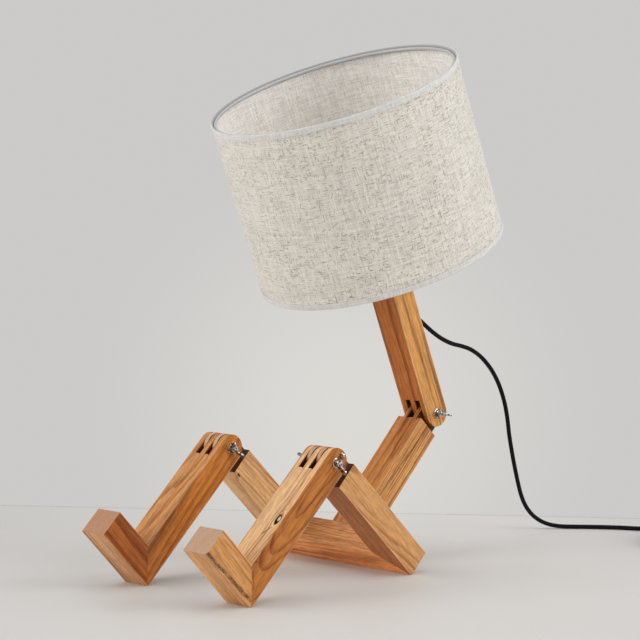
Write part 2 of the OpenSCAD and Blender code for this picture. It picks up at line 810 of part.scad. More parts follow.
module plug_body() {
    half = plug_w / 2;
    neck = plug_neck_w / 2;
    flared = neck + plug_neck_flare;
    face_low = plug_l - plug_face_l;
    shoulder_low = face_low - plug_shoulder_l;
    color("black") at_plug() difference() {
        linear_extrude(plug_t) polygon([
            [-neck, 0], [neck, 0], [flared, shoulder_low], [half, face_low], [half, plug_l],
            [-half, plug_l], [-half, face_low], [-flared, shoulder_low]
        ]);
        for (side = [left, right]) translate([side * pin_pitch / 2, plug_l - pin_in, plug_t / 2])
            rotate([-90, 0, 0]) cylinder(h = 2 * pin_in, d = pin_root_d + part_gap);
    }
}

// Round pins on thinner roots that are moulded into the plug's face
module plug_pins() {
    color("silver") at_plug()
        for (side = [left, right]) translate([side * pin_pitch / 2, plug_l, plug_t / 2]) rotate([-90, 0, 0]) {
            translate([0, 0, -pin_in]) cylinder(h = pin_in + eps, d = pin_root_d);
            cylinder(h = pin_l - pin_bevel, d = pin_d);
            translate([0, 0, pin_l - pin_bevel])
                cylinder(h = pin_bevel, d1 = pin_d, d2 = pin_d - 2 * pin_bevel);
        }
}

hip_bar();
thigh_left();
thigh_right();
torso_bar();
hip_dowels();
torso_dowels();
shin_left();
foot_left();
heel_dowels_left();
knee_bolt_left();
knee_washers_left();
knee_nut_left();
shin_right();
foot_right();
heel_dowels_right();
knee_bolt_right();
knee_washers_right();
knee_nut_right();
neck_bar();
neck_bolt();
neck_washers();
neck_nut();
cord_sleeve();
cord_inside();
threaded_tube();
tube_nut();
lampholder_cap();
lampholder_insert();
lampholder_contact();
lampholder_shell();
lampholder_body();
clamp_ring();
shade_spider();
lower_ring();
upper_ring();
shade_liner();
shade_fabric();
lower_trim();
upper_trim();
bulb_cap();
bulb_glass();
cord_lead();
cord_mid();
cord_coil();
cord_tail();
switch_base();
switch_cover();
switch_rocker();
switch_contacts();
switch_screws();
plug_body();
plug_pins();
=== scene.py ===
import functools
import json
import math

import bmesh
import bpy
from mathutils import Matrix, Vector


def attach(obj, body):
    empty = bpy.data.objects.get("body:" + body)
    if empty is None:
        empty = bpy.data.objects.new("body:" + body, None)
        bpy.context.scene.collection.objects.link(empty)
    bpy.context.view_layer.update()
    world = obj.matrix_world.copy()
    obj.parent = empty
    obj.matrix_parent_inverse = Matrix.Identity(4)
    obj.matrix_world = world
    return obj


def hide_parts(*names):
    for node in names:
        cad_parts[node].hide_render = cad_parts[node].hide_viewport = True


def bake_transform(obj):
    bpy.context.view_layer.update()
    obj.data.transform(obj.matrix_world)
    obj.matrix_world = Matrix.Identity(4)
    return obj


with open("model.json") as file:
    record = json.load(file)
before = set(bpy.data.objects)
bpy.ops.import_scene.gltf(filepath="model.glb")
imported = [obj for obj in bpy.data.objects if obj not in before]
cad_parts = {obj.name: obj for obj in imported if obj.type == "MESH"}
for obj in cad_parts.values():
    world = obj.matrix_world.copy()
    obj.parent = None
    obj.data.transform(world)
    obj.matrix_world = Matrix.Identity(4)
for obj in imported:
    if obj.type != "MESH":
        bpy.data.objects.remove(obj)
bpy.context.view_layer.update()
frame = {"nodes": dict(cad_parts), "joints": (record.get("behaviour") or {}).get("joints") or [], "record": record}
nodes = frame["nodes"]
mm = 0.001

# ---------------------------------------------------------------- Studio
# A white table top whose back edge lies behind the lamp, in a pale room with
# soft light panels. None of it is part of the lamp.
camera_place = (1.4442, -1.3881, 0.3833)
camera_azimuth, camera_pitch, camera_roll = 45.9, -4.45, -0.59
camera_lens, camera_reach = 125.5, 20
lamp_middle = Vector((0, 0, 0.25))
panels = {
    "panel_left": ((-1.07, -1.92, 1.3), 1.5, 30),
    "panel_right": ((1.98, 0.97, 1.25), 1.5, 29),
    "panel_top": ((0.2, 0.1, 2.4), 1.6, 12),
}
room_light = 0.62
room_grey, room_lit = (0.605, 0.595, 0.585), (0.715, 0.70, 0.665)
lit_way, lit_reach = (-0.7052, 0.6987, -0.1205), 0.1255
table_edge = (Vector((-0.5156, 0.026, 0)), Vector((0.0446, 0.4223, 0)))
table_reach, table_t = 4.0, 0.03
table_white, table_bounce = (0.56, 0.545, 0.525), (0.86, 0.83, 0.80)
table_lit, table_spread = (-0.304, 0.346, 0), (0.602, 2.28, 1)
table_bright, table_dim, dim_reach = 1.085, 0.94, 0.6
edge_shade_width, edge_dark = 0.009, 0.78

scene = bpy.context.scene
scene.view_settings.view_transform = "Standard"


def linked(name, data):
    made = bpy.data.objects.new(name, data)
    scene.collection.objects.link(made)
    return made


def shift(x, y, z):
    return Matrix.Translation((x, y, z))


def turn(degrees, axis):
    return Matrix.Rotation(math.radians(degrees), 4, axis)


camera = linked("camera", bpy.data.cameras.new("camera"))
scene.camera = camera
camera.data.lens = camera_lens
camera.data.clip_end = camera_reach
camera.matrix_world = (
    shift(*camera_place) @ turn(camera_azimuth, "Z") @ turn(90 + camera_pitch, "X") @ turn(camera_roll, "Z")
)
for panel, (place, size, power) in panels.items():
    light = linked(panel, bpy.data.lights.new(panel, "AREA"))
    light.data.size, light.data.energy = size, power
    light.location = place
    light.rotation_euler = (lamp_middle - Vector(place)).to_track_quat("-Z", "Y").to_euler()


def fill(node, inputs):
    """Links fields and nodes to a node's inputs, or sets their values; colours need no alpha."""
    for label, value in inputs.items():
        socket = node.inputs[label]
        value = value.outputs[0] if isinstance(value, bpy.types.Node) else getattr(value, "socket", value)
        if isinstance(value, bpy.types.NodeSocket):
            node.id_data.links.new(value, socket)
        elif socket.type == "RGBA":
            socket.default_value = (*value, 1)
        elif socket.type == "VECTOR" and isinstance(value, (int, float)):
            socket.default_value = (value, value, value)
        else:
            socket.default_value = value


def put(tree, kind, inputs=None, **settings):
    """Adds a node to a tree."""
    made = tree.nodes.new(kind)
    for label, value in settings.items():
        setattr(made, label, value)
    fill(made, inputs or {})
    return made


class Field:
    """A number, vector or colour in a node tree. Arithmetic on it adds nodes to the tree."""

    def __init__(self, socket):
        self.socket = socket

    def through(self, kind, inputs, output=0, **settings):
        return Field(put(self.socket.id_data, kind, inputs, **settings).outputs[output])

    def do(self, operation, *others):
        """An operation of the Math node, or of Vector Math on a vector or colour."""
        kind = "ShaderNodeMath" if self.socket.type == "VALUE" else "ShaderNodeVectorMath"
        output = int(operation in ("LENGTH", "DISTANCE", "DOT_PRODUCT"))
        return self.through(kind, dict(enumerate((self, *others))), output, operation=operation)

    def __rsub__(self, number):
        return self.through("ShaderNodeMath", {0: number, 1: self}, operation="SUBTRACT")

    def __rmul__(self, way):
        return self.through("ShaderNodeVectorMath", {0: way, "Scale": self}, operation="SCALE")

    def xyz(self):
        return [Field(part) for part in put(self.socket.id_data, "ShaderNodeSeparateXYZ", {0: self}).outputs]

    def joined(self, y, z=0.0):
        return self.through("ShaderNodeCombineXYZ", {0: self, 1: y, 2: z})

    def ramp(self, low, high, to_low=0.0, to_high=1.0, kind="SMOOTHSTEP"):
        """A step from low to high, smooth or linear."""
        return self.through("ShaderNodeMapRange", {
            "Value": self, "From Min": low, "From Max": high, "To Min": to_low, "To Max": to_high,
        }, interpolation_type=kind)

    def between(self, a, b):
        """A colour this far on the way from a to b."""
        return self.through("ShaderNodeMix", {0: self, 6: a, 7: b}, 2, data_type="RGBA")

    def noise(self, scale, detail=2.0, output="Fac"):
        """Noise in features per metre, the same all round or for each axis."""
        inputs = {"Vector": self * scale, "Scale": 1.0, "Detail": detail}
        return self.through("ShaderNodeTexNoise", inputs, output)

    def seen_from(self, location, rotation, scale=(1, 1, 1)):
        return self.through("ShaderNodeMapping", {
            "Vector": self, "Location": location, "Rotation": rotation, "Scale": scale,
        }, vector_type="TEXTURE")

    def bump(self, depth, strength):
        return self.through("ShaderNodeBump", {"Height": self, "Distance": depth, "Strength": strength})


for method, operation in {
    "add": "ADD", "sub": "SUBTRACT", "mul": "MULTIPLY", "truediv": "DIVIDE", "abs": "ABSOLUTE",
    "gt": "GREATER_THAN", "lt": "LESS_THAN",
}.items():
    setattr(Field, f"__{method}__", functools.partialmethod(Field.do, operation))


def fields(tree, kind, *labels):
    """A new node's outputs with these names."""
    outputs = put(tree, kind).outputs
    return [Field(outputs[label]) for label in labels]


def most(first, *others):
    for other in others:
        first = first.do("MAXIMUM", other)
    return first


room = bpy.data.worlds.new("room")
scene.world = room
room.use_nodes = True
sky = room.node_tree
sky.nodes.clear()
seen = most(*fields(sky, "ShaderNodeLightPath", "Is Camera Ray", "Is Transmission Ray", "Is Glossy Ray"))
glow = put(sky, "ShaderNodeBackground", {"Color": (1, 1, 1), "Strength": room_light})
way, = fields(sky, "ShaderNodeTexCoord", "Generated")
lit = way.do("DISTANCE", lit_way).ramp(0, lit_reach, 1, 0).between(room_grey, room_lit)
wall = put(sky, "ShaderNodeBackground", {"Color": lit, "Strength": 1.0})
put(sky, "ShaderNodeOutputWorld", {"Surface": put(sky, "ShaderNodeMixShader", {0: seen, 1: glow, 2: wall})})


def mesh_object(name, points, faces, smooth=True):
    data = bpy.data.meshes.new(name)
    data.from_pydata([tuple(p) for p in points], [], faces)
    data.polygons.foreach_set("use_smooth", [smooth] * len(data.polygons))
    return linked(name, data)


def prism_faces(count):
    """Faces of a prism whose two outlines have count points each."""
    sides = [(k, k + count, (k + 1) % count + count, (k + 1) % count) for k in range(count)]
    return [list(range(count)), list(range(2 * count - 1, count - 1, -1)), *sides]


def new_material(name, *coordinates):
    """A bare Principled material; returns it, its shader and the coordinates asked for."""
    made = bpy.data.materials.new(name)
    made.use_nodes = True
    tree = made.node_tree
    tree.nodes.clear()
    shader = tree.nodes.new("ShaderNodeBsdfPrincipled")
    put(tree, "ShaderNodeOutputMaterial", {"Surface": shader})
    return made, shader, *fields(tree, "ShaderNodeTexCoord", *coordinates)


edge_way = (table_edge[1] - table_edge[0]).normalized()
edge_middle = (table_edge[0] + table_edge[1]) / 2
to_front = Vector((edge_way.y, -edge_way.x, 0))
corners = [
    edge_middle + side * table_reach * edge_way + depth * table_reach * to_front
    for side, depth in ((-1, 1), (1, 1), (1, 0), (-1, 0))
]
table_top = mesh_object(
    "table_top", corners + [c - Vector((0, 0, table_t)) for c in corners], prism_faces(4), smooth=False,
)
table_paint, shader, spot = new_material("table_paint", "Object")
camera_ray, = fields(table_paint.node_tree, "ShaderNodeLightPath", "Is Camera Ray")
# Painted shade darkens a narrow strip along the table's back edge, and a painted pool of light makes the top
# brighter near one place and dimmer away from it.
at_back = edge_middle.dot(to_front)
painted_edge_shade = spot.do("DOT_PRODUCT", to_front).ramp(at_back, at_back + edge_shade_width, edge_dark, 1.0, "LINEAR")
off_lit = spot.seen_from(table_lit, (0, 0, math.radians(camera_azimuth)), table_spread).do("LENGTH")
dimmed = off_lit.ramp(0, dim_reach, table_bright, table_dim, "LINEAR") * painted_edge_shade
fill(shader, {"Base Color": camera_ray.between(table_bounce, table_white) * dimmed, "Roughness": 0.55})
table_top.data.materials.append(table_paint)

# ---------------------------------------------------------------- Cord
# Round two-core flex in a black rubber sheath. It comes out of the back of the
# neck, hangs down to the table, passes through the switch, and the length that
# isn't needed is wound into a coil that ends at the plug.
cord_d = 4.2 * mm
cord_sides = 16
cord_black = (0.0035, 0.0032, 0.0033)
lead_route = [
    (0, 139.5, 220.8), (0, 148, 214.7), (0, 160, 206.4), (0, 173, 199), (0, 187, 193.4), (0, 201, 189.9),
    (0, 214, 185.8), (0, 227, 178.8), (0, 238, 170), (0, 247, 160.4), (0, 254.5, 149.5), (0, 260.5, 137.5),
    (0, 265, 125), (0, 268, 112), (0, 270, 99), (0, 272.8, 86), (0, 276, 73), (0, 279.6, 60),
    (0, 283.4, 47.5), (0.3, 287.2, 36), (1.6, 291.6, 25.4), (4.6, 297, 16.2), (9.6, 303.2, 9.2),
    (16.6, 310.2, 4.6), (25, 317.6, 2.6), (35, 326, 2.2), (47, 335.6, 2.2), (60, 345, 2.2),
    (73, 353.2, 2.2), (86, 359.4, 2.2), (98, 362.8, 2.8), (110, 363.2, 4.5), (121, 361, 6.4),
    (130, 355.8, 7.6), (136, 349.2, 8),
]
mid_route = [(174.6, 303.2, 8), (179.4, 297.5, 7.1), (185, 290.8, 5), (191, 283.7, 3)]
tail_route = [(257, 309, 6.6), (257, 318, 6.7), (257, 327, 6.8), (257, 337, 6.9)]
coil_middle = (223, 298.5)
coil_outer_r, coil_pitch = 34.0, 4.3
coil_turns, coil_climb = 4, 0.39
coil_low, coil_high = 2.2, 6.6
coil_start, coil_steps = 220, 30
line_cuts = 3


def coil_points():
    """The turns of the coil: in along the table, up, and out again on top."""
    steps = round((2 * coil_turns + coil_climb) * coil_steps)
    for k in range(steps + 1):
        wound = (2 * coil_turns + coil_climb) * k / steps
        outward = max(wound - coil_turns - coil_climb, 0)
        rise = min(max((wound - coil_turns) / coil_climb, 0), 1)
        r = coil_outer_r - coil_pitch * (min(wound, coil_turns) - outward)
        q = math.radians(coil_start) + 2 * math.pi * wound
        yield (
            coil_middle[0] + r * math.cos(q), coil_middle[1] + r * math.sin(q),
            coil_low + (coil_high - coil_low) * rise,
        )


def smooth_line(points, cuts):
    """A Catmull-Rom line through the points, with each stretch cut in equal shares."""
    p = [2 * points[0] - points[1], *points, 2 * points[-1] - points[-2]]
    line = []
    for i in range(1, len(p) - 2):
        for k in range(cuts):
            t = k / cuts
            line.append(0.5 * (
                2 * p[i] + (p[i + 1] - p[i - 1]) * t
                + (2 * p[i - 1] - 5 * p[i] + 4 * p[i + 1] - p[i + 2]) * t ** 2
                + (3 * p[i] - 3 * p[i + 1] + p[i + 2] - p[i - 1]) * t ** 3
            ))
    return [*line, p[-2]]


def map_faces(piece, uvs):
    layer = piece.data.uv_layers.new(name="UVMap")
    layer.data.foreach_set("uv", [x for uv in uvs for x in uv])


def tube(name, line, radius, sides):
    """A closed round tube along a line, with its UV map in metres along and around it."""
    ahead = (line[1] - line[0]).normalized()
    aside = ahead.orthogonal().normalized()
    points, run = [], [0]
    for i, middle in enumerate(line):
        way = (line[min(i + 1, len(line) - 1)] - line[max(i - 1, 0)]).normalized()
        aside = (ahead.rotation_difference(way) @ aside).normalized()
        ahead = way
        up = ahead.cross(aside)
        for k in range(sides):
            q = 2 * math.pi * k / sides
            points.append(middle + radius * (math.cos(q) * aside + math.sin(q) * up))
        if i:
            run.append(run[-1] + (middle - line[i - 1]).length)
    faces, uvs = [], []
    for i in range(len(line) - 1):
        for k in range(sides):
            a, b = i * sides + k, i * sides + (k + 1) % sides
            faces.append((a, b, b + sides, a + sides))
            low, high = radius * 2 * math.pi * k / sides, radius * 2 * math.pi * (k + 1) / sides
            uvs += [(run[i], low), (run[i], high), (run[i + 1], high), (run[i + 1], low)]
    last = (len(line) - 1) * sides
    faces += [list(range(sides))[::-1], list(range(last, last + sides))]
    uvs += [(0, 0)] * 2 * sides
    made = mesh_object(name, points, faces)
    map_faces(made, uvs)
    return made


def plain_finish(name, tint, rough, relief=None, extra=None, coordinates="Object"):
    """A material of one colour or two, and one roughness or a spread of it.

    Two colours are followed by their noise's scale and detail, and the step that parts them
    if they don't run together. A spread is least, range, and its noise's scale and detail.
    Relief is the depth and strength of a bump from the roughness's noise.
    """
    made, shader, spot = new_material(name, coordinates)
    if len(tint) > 3:
        shades = spot.noise(*tint[2:4])
        tint = (shades.ramp(*tint[4:]) if tint[4:] else shades).between(*tint[:2])
    if not isinstance(rough, float):
        least, spread, *grain = rough
        grain = spot.noise(*grain)
        rough = grain * spread + least
    fill(shader, {"Base Color": tint, "Roughness": rough, **(extra or {})})
    if relief:
        fill(shader, {"Normal": grain.bump(*relief)})
    return made


route = [Vector(p) * mm for p in [*lead_route, *mid_route, *coil_points(), *tail_route]]
cord_line = smooth_line(route, line_cuts)
cord = tube("cord", cord_line, cord_d / 2, cord_sides)
cord.data.materials.append(plain_finish(
    "cord_rubber", cord_black, (0.45, 0.15, (260, 1400, 1), 3), (0.06 * mm, 0.6),
    {"Specular IOR Level": 0.09}, "UV",
))
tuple(cord_line[0])
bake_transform(cord)
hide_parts("cord_lead", "cord_mid", "cord_coil", "cord_tail")

# ---------------------------------------------------------------- Strain relief
# Soft black sleeve moulded on the cord where it leaves the neck. Rings cut into
# its free end let it bend with the cord.
neck_lean = 21.3
bar_w, bar_t = 30 * mm, 26 * mm
outlet_h, outlet_tilt = 103 * mm, 33
sleeve_in, sleeve_out = 9 * mm, 19 * mm
sleeve_d, sleeve_tip_d = 8 * mm, 5.8 * mm
sleeve_rings, sleeve_ring_depth = 6, 0.45 * mm
sleeve_black = (0.009, 0.009, 0.0095)
crease = 40
joint_at = {j["name"]: Vector(j["pos_m"]) for j in frame["joints"]}
body_of = {node: body for body, group in frame["record"]["behaviour"]["bodies"].items() for node in group}
in_neck = shift(*joint_at["neck_tilt"]) @ turn(neck_lean, "X")


def lathe(name, outline, place, steps=64, closed=True):
    """Turns an outline of (radius, height) points round the place's Z axis.

    A closed outline is a ring's section; an open one starts and ends on the axis.
    The UV map is in metres around and along the outline.
    """
    points, ring_of = [], []
    for r, z in outline:
        on_axis = r < 1e-7
        ring_of.append([len(points) + k * (not on_axis) for k in range(steps)])
        for k in range(1 if on_axis else steps):
            q = 2 * math.pi * k / steps
            points.append(place @ Vector((r * math.cos(q), r * math.sin(q), z)))
    widest = max(r for r, z in outline)
    faces, uvs, run = [], [], 0
    count = len(outline)
    for i in range(count if closed else count - 1):
        j = (i + 1) % count
        step = math.dist(outline[i], outline[j])
        for k in range(steps):
            n = (k + 1) % steps
            corner = [
                (ring_of[i][k], k, run), (ring_of[i][n], k + 1, run),
                (ring_of[j][n], k + 1, run + step), (ring_of[j][k], k, run + step),
            ]
            kept = [c for c, before in zip(corner, [corner[-1], *corner]) if c[0] != before[0]]
            faces.append([c[0] for c in kept])
            uvs += [(2 * math.pi * widest * c[1] / steps, c[2]) for c in kept]
        run += step
    made = mesh_object(name, points, faces)
    map_faces(made, uvs)
    return made


def face_outwards(piece):
    shape = bmesh.new()
    shape.from_mesh(piece.data)
    bmesh.ops.recalc_face_normals(shape, faces=shape.faces)
    shape.to_mesh(piece.data)
    shape.free()


def shade_sharp(piece, degrees=crease):
    """Smooth shading that breaks at edges sharper than an angle."""
    piece.data.polygons.foreach_set("use_smooth", [True] * len(piece.data.polygons))
    piece.data.set_sharp_from_angle(angle=math.radians(degrees))


def dressed(piece, finish, degrees=crease):
    """A piece that faces outwards, with crisp edges and its material."""
    face_outwards(piece)
    shade_sharp(piece, degrees)
    piece.data.materials.append(finish)
    return piece


def turned(name, outline, place, finish, steps=64, closed=True, degrees=crease):
    return dressed(lathe(name, list(outline), place, steps, closed), finish, degrees)


def stand_for(piece, *names):
    """The piece rides on the body of the nodes that it replaces, which are hidden."""
    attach(piece, body_of[names[0]])
    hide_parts(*names)


def sleeve_outline():
    hole = cord_d / 2 + 0.05 * mm
    yield from ((hole, -sleeve_in), (sleeve_d / 2, -sleeve_in), (sleeve_d / 2, 1.0 * mm))
    step = (sleeve_out - 3 * mm) / sleeve_rings
    for k in range(sleeve_rings):
        z = 2 * mm + k * step
        r = sleeve_d / 2 + (sleeve_tip_d - sleeve_d) / 2 * z / sleeve_out
        yield from ((r, z), (r, z + step * 0.5))
        yield from ((r - sleeve_ring_depth, z + step * share) for share in (0.58, 0.92))
    tip_r = sleeve_tip_d / 2
    yield from ((tip_r, sleeve_out - 0.6 * mm), (tip_r - 0.4 * mm, sleeve_out), (hole, sleeve_out))


sleeve = turned(
    "strain_relief", sleeve_outline(), in_neck @ shift(0, bar_t / 2, outlet_h) @ turn(outlet_tilt - 180, "X"),
    plain_finish("sleeve_rubber", sleeve_black, (0.42, 0.2, 600, 3)), 40, degrees=50,
)
stand_for(sleeve, "cord_sleeve")

# ---------------------------------------------------------------- Timber bars
# Planed hardwood, oiled. The bars are mitred and glued over dowels at the hip and
# the heels, and cut into fingers at the knees and the neck. Each has its own grain.
thigh_l, shin_l = 145 * mm, 150 * mm
thigh_slope, shin_turn = 45, -47.048
edge_round, mitre_round, round_cuts = 0.8 * mm, 0.18 * mm, 3
merge_gap, flat_angle = 0.002 * mm, 0.5
glued_face_area, faces_down, faces_square = 300 * mm * mm, -0.99, 0.95
timber_gloss, timber_relief = 0.15, (0.22 * mm, 0.55)


def tilted(place, degrees):
    return shift(*place) @ turn(degrees, "X")


hip_middle = tilted((0, *joint_at["knee_left"].yz), thigh_slope) @ shift(0, 0, bar_w / 2 - thigh_l)
bar_frames = {
    "hip_bar": hip_middle @ turn(90, "Y"),
    "torso_bar": tilted(joint_at["neck_tilt"], -thigh_slope),
    "neck_bar": in_neck @ turn(180, "X"),
}
for side in ("_left", "_right"):
    knee = joint_at["knee" + side]
    bar_frames["thigh" + side] = tilted(knee, thigh_slope)
    bar_frames["shin" + side] = tilted(knee, shin_turn)
    bar_frames["foot" + side] = tilted(knee, shin_turn) @ shift(0, 0, bar_t / 2 - shin_l) @ turn(90, "X")


def modify(piece, kind, **settings):
    made = piece.modifiers.new(kind.lower(), kind)
    for label, value in settings.items():
        setattr(made, label, value)


def settle(piece):
    """Turns a piece's modifiers into its plain mesh."""
    graph = bpy.context.evaluated_depsgraph_get()
    plain = bpy.data.meshes.new_from_object(piece.evaluated_get(graph), depsgraph=graph)
    piece.modifiers.clear()
    piece.data = plain


def cut_out(piece, cutter):
    """Cuts the cutter's shape out of a piece, and removes the cutter."""
    modify(piece, "BOOLEAN", object=cutter, solver="EXACT")
    settle(piece)
    bpy.data.objects.remove(cutter)


def coat(piece, finish):
    piece.data.materials.clear()
    piece.data.materials.append(finish)


def eased_node(name, node, width, finish, angle=35, share=None, cutter=None):
    """A node's copy with its convex edges rounded, in its finish, that stands for the node.

    Share gives an edge's part of the width. Large flat faces stay flat beside rounded edges.
    """
    shape = bmesh.new()
    shape.from_mesh(nodes[node].data)
    bmesh.ops.remove_doubles(shape, verts=shape.verts, dist=merge_gap)
    flat = math.radians(flat_angle)
    bmesh.ops.dissolve_limit(shape, angle_limit=flat, verts=shape.verts, edges=shape.edges)
    weight = shape.edges.layers.float.new("bevel_weight_edge")
    for edge in shape.edges:
        sharp = len(edge.link_faces) == 2 and edge.calc_face_angle() > math.radians(angle)
        if sharp and edge.is_convex:
            edge[weight] = share(edge) if share else 1
    data = bpy.data.meshes.new(name)
    shape.to_mesh(data)
    shape.free()
    data.polygons.foreach_set("use_smooth", [True] * len(data.polygons))
    made = linked(name, data)
    modify(made, "BEVEL", limit_method="WEIGHT", width=width, segments=round_cuts)
    settle(made)
    if cutter:
        cut_out(made, cutter)
    shade_sharp(made)
    modify(made, "WEIGHTED_NORMAL", keep_sharp=True)
    settle(made)
    coat(made, finish)
    stand_for(made, node)
    return made


def timber_share(bar):
    """Edges are rounded fully, hardly at all where a mitre is glued, and not under the feet."""
    into_bar = bar_frames[bar].to_3x3().inverted()

    def share(edge):
        for face in edge.link_faces:
            if face.normal.z < faces_down:
                return 0
            mitred = max(abs(x) for x in into_bar @ face.normal) < faces_square
            if mitred and face.calc_area() > glued_face_area:
                return mitre_round / edge_round
        return 1

    return share


def new_group(name, inputs, outputs, kind="Shader"):
    """A node group with named sockets of each type; returns it, its inputs and its output node."""
    group = bpy.data.node_groups.new(name, kind + "NodeTree")
    for kinds, in_out in ((inputs, "INPUT"), (outputs, "OUTPUT")):
        for socket_kind, labels in kinds.items():
            for label in labels.split():
                group.interface.new_socket(name=label, in_out=in_out, socket_type="NodeSocket" + socket_kind)
    given = {socket.name: Field(socket) for socket in group.nodes.new("NodeGroupInput").outputs}
    return group, given, group.nodes.new("NodeGroupOutput")


def place_group(tree, group, inputs):
    """Puts a node group in a material; returns its outputs as fields."""
    made = put(tree, "ShaderNodeGroup", inputs, node_tree=group)
    return {socket.name: Field(socket) for socket in made.outputs}


# Oiled hardwood in a bar's own frame, its grain along Z: year rings round a pith beside the
# bar, brown streaks, fine fibres, open pores, paler edges that are partly wear and partly a
# painted highlight, and speckled end grain. The side tint on the faces across the joint's axis
# is partly the wood's own tone and partly painted light and shade.
pore_brown, wear_and_highlight_pale, joint_shade_brown = (0.14, 0.05, 0.018), (0.78, 0.56, 0.36), (0.042, 0.012, 0.004)
timber, given, result = new_group(
    "timber",
    {
        "Vector": "Place Normal Grain Across Pith Lean Half",
        "Float": "Ring Wander Seed Streaks Joint",
        "Color": "Pale Dark Side End",
    },
    {"Color": "Color", "Float": "Roughness Height"},
)
place = given["Place"]
x, y, height = place.xyz()
grain = place + (0.71, 0.37, 0.53) * given["Seed"]
drift = (grain.noise((30, 30, 7), 1.5, "Color") - 0.5) * given["Wander"]
from_pith = (place - given["Pith"] + drift + given["Lean"] * height) * (1, 1, 0)
years = from_pith.do("LENGTH") / given["Ring"] + grain.noise((140, 140, 6)) * 0.7
season = years.do("FRACT")
late = season.ramp(0.3, 0.9) - season.ramp(0.92, 1.0)
year = years.do("FLOOR") + given["Seed"]
strength = year.through("ShaderNodeTexWhiteNoise", {"W": year}, noise_dimensions="1D")
bold = late * strength.ramp(0.1, 0.9, 0.3, 1.0)
streaks = grain.noise((230, 230, 4.5), 3).ramp(0.45, 0.68) * given["Streaks"]
broad = grain.noise((45, 45, 7)).ramp(0.3, 0.7, -0.14, 0.24)
fibres = grain.noise((1100, 1100, 22), 3)
pores = grain.noise((1700, 1700, 75), 1).ramp(0.6, 0.72)
tone = bold * 0.7 + streaks + broad + fibres.ramp(0.25, 0.75, -0.2, 0.2)
colour = (pores * 0.45).between(tone.between(given["Pale"], given["Dark"]), pore_brown)
colour = colour * grain.noise((620, 620, 95), 3).ramp(0.34, 0.66, 1.11, 0.86)
# Faces across the joint's axis take the side tint: partly wood tone, partly painted light and shade.
side_mask = abs(given["Normal"].do("DOT_PRODUCT", given["Across"])).ramp(0.55, 0.85)
colour = side_mask.between(colour, colour * given["Side"])
end_mask = abs(given["Normal"].do("DOT_PRODUCT", given["Grain"])).ramp(0.75, 0.95)
end_tone = bold * 0.3 + grain.noise(1500).ramp(0.35, 0.7, 0.0, 0.35)
colour = end_mask.between(colour, end_tone.between(given["End"], given["Dark"]))
# Edges are paler: partly wear, partly a painted highlight along them.
from_edge = most(*(given["Half"] - abs(place)).xyz()[:2])
wear_and_highlight = from_edge.ramp(0.2 * mm, 1.4 * mm, 1, 0) * grain.noise((160, 160, 90), 3)
colour = (wear_and_highlight * 0.38).between(colour, wear_and_highlight_pale)

# Painted shade in a finger joint, in dark brown: the shoulders and slot bottoms, the slots' and
# tongues' sides from a little way in, and a line at the gap beside each tongue, on the same side of
# both tongues, are painted dark where shade falls between the parts. The joint's round end lies at
# Z over 0, and the bar runs down from it. Joint is 1 for a bar with fingers, 2 for one with tongues,
# and 0 for one without a joint.
joint_low, tongue_extra, joint_inner = -19.2 * mm, 1.3 * mm, 12 * mm
gap_places, tongue_root = (8.8 * mm, -3.2 * mm), -12.6 * mm
has_tongues = given["Joint"] > 1.5
near_joint = (height > has_tongues * tongue_extra + joint_low) * (given["Joint"] > 0.5)
sunk = bar_t / 2 - y.joined(height.do("MAXIMUM", 0.0)).do("LENGTH")
slot_side_shade = side_mask * sunk.ramp(0.3 * mm, 1.6 * mm) * (abs(x) < joint_inner)
end_face_shade = end_mask * (height < -bar_t / 2)
from_gaps = abs(x - gap_places[0]).do("MINIMUM", abs(x - gap_places[1]))
gap_line_shade = from_gaps.ramp(0.65 * mm, 1.15 * mm, 1, 0)
painted_joint_shade = most(slot_side_shade, end_face_shade, gap_line_shade, (height < tongue_root) * has_tongues) * near_joint
fill(result, {
    "Color": (painted_joint_shade * 0.93).between(colour, joint_shade_brown),
    "Roughness": end_mask * 0.18 + pores * 0.2 + fibres.ramp(0.2, 0.8, 0.38, 0.52),
    "Height": bold * 0.3 + fibres * 0.55 - pores * 0.5,
})

# A knot that a branch left: the grain flows round it, and its rim is nearly black. Face is
# the way into the bar, and Branch runs with it, one unit in.
knot_flow, heart_off = 1.7, (0.3 * mm, 0, 0.5 * mm)
knot, given, result = new_group(
    "knot", {"Vector": "Place Middle Face Branch", "Float": "Radius"},
    {"Vector": "Place", "Float": "Rim Heart"},
)
place, radius = given["Place"], given["Radius"]
away = place - given["Middle"]
across = (away - given["Branch"] * away.do("DOT_PRODUCT", given["Face"])) * (1, 1, 0.5)
reach = across.do("LENGTH") / radius
off_heart = (across - heart_off).do("LENGTH") / radius + place.noise(300) * 0.3
fill(result, {
    "Place": place - across * (1, 1, 0) / (reach * reach / knot_flow).do("MAXIMUM", 1.0),
    "Rim": (place.noise((500, 500, 260)) * 0.5 + reach).ramp(0.98, 1.4, 1, 0),
    "Heart": off_heart.ramp(0.56, 0.68, 1, 0),
})

# A dark line in the wood, such as bark or a mineral streak, between two places.
streak_line, given, result = new_group(
    "streak_line", {"Vector": "Place Start End", "Float": "Radius Breaks Flecks"}, {"Float": "Mask"},
)
place = given["Place"]
away, whole = place - given["Start"], given["End"] - given["Start"]
share = away.do("DOT_PRODUCT", whole) / whole.do("DOT_PRODUCT", whole)
off_line = (away - whole * share.through("ShaderNodeClamp", {"Value": share})).do("LENGTH") / given["Radius"]
line_mask = (place.noise((420, 420, 130), 3) * 1.2 + off_line).ramp(0.9, 1.7, 1, 0)
broken = place.noise((150, 150, 110)).ramp(0.5, 0.62) * given["Breaks"]
flecked = place.noise(620, 3).ramp(0.38, 0.6, 0.5, 0) * given["Flecks"]
fill(result, {"Mask": line_mask * (1 - broken) * (1 - flecked)})
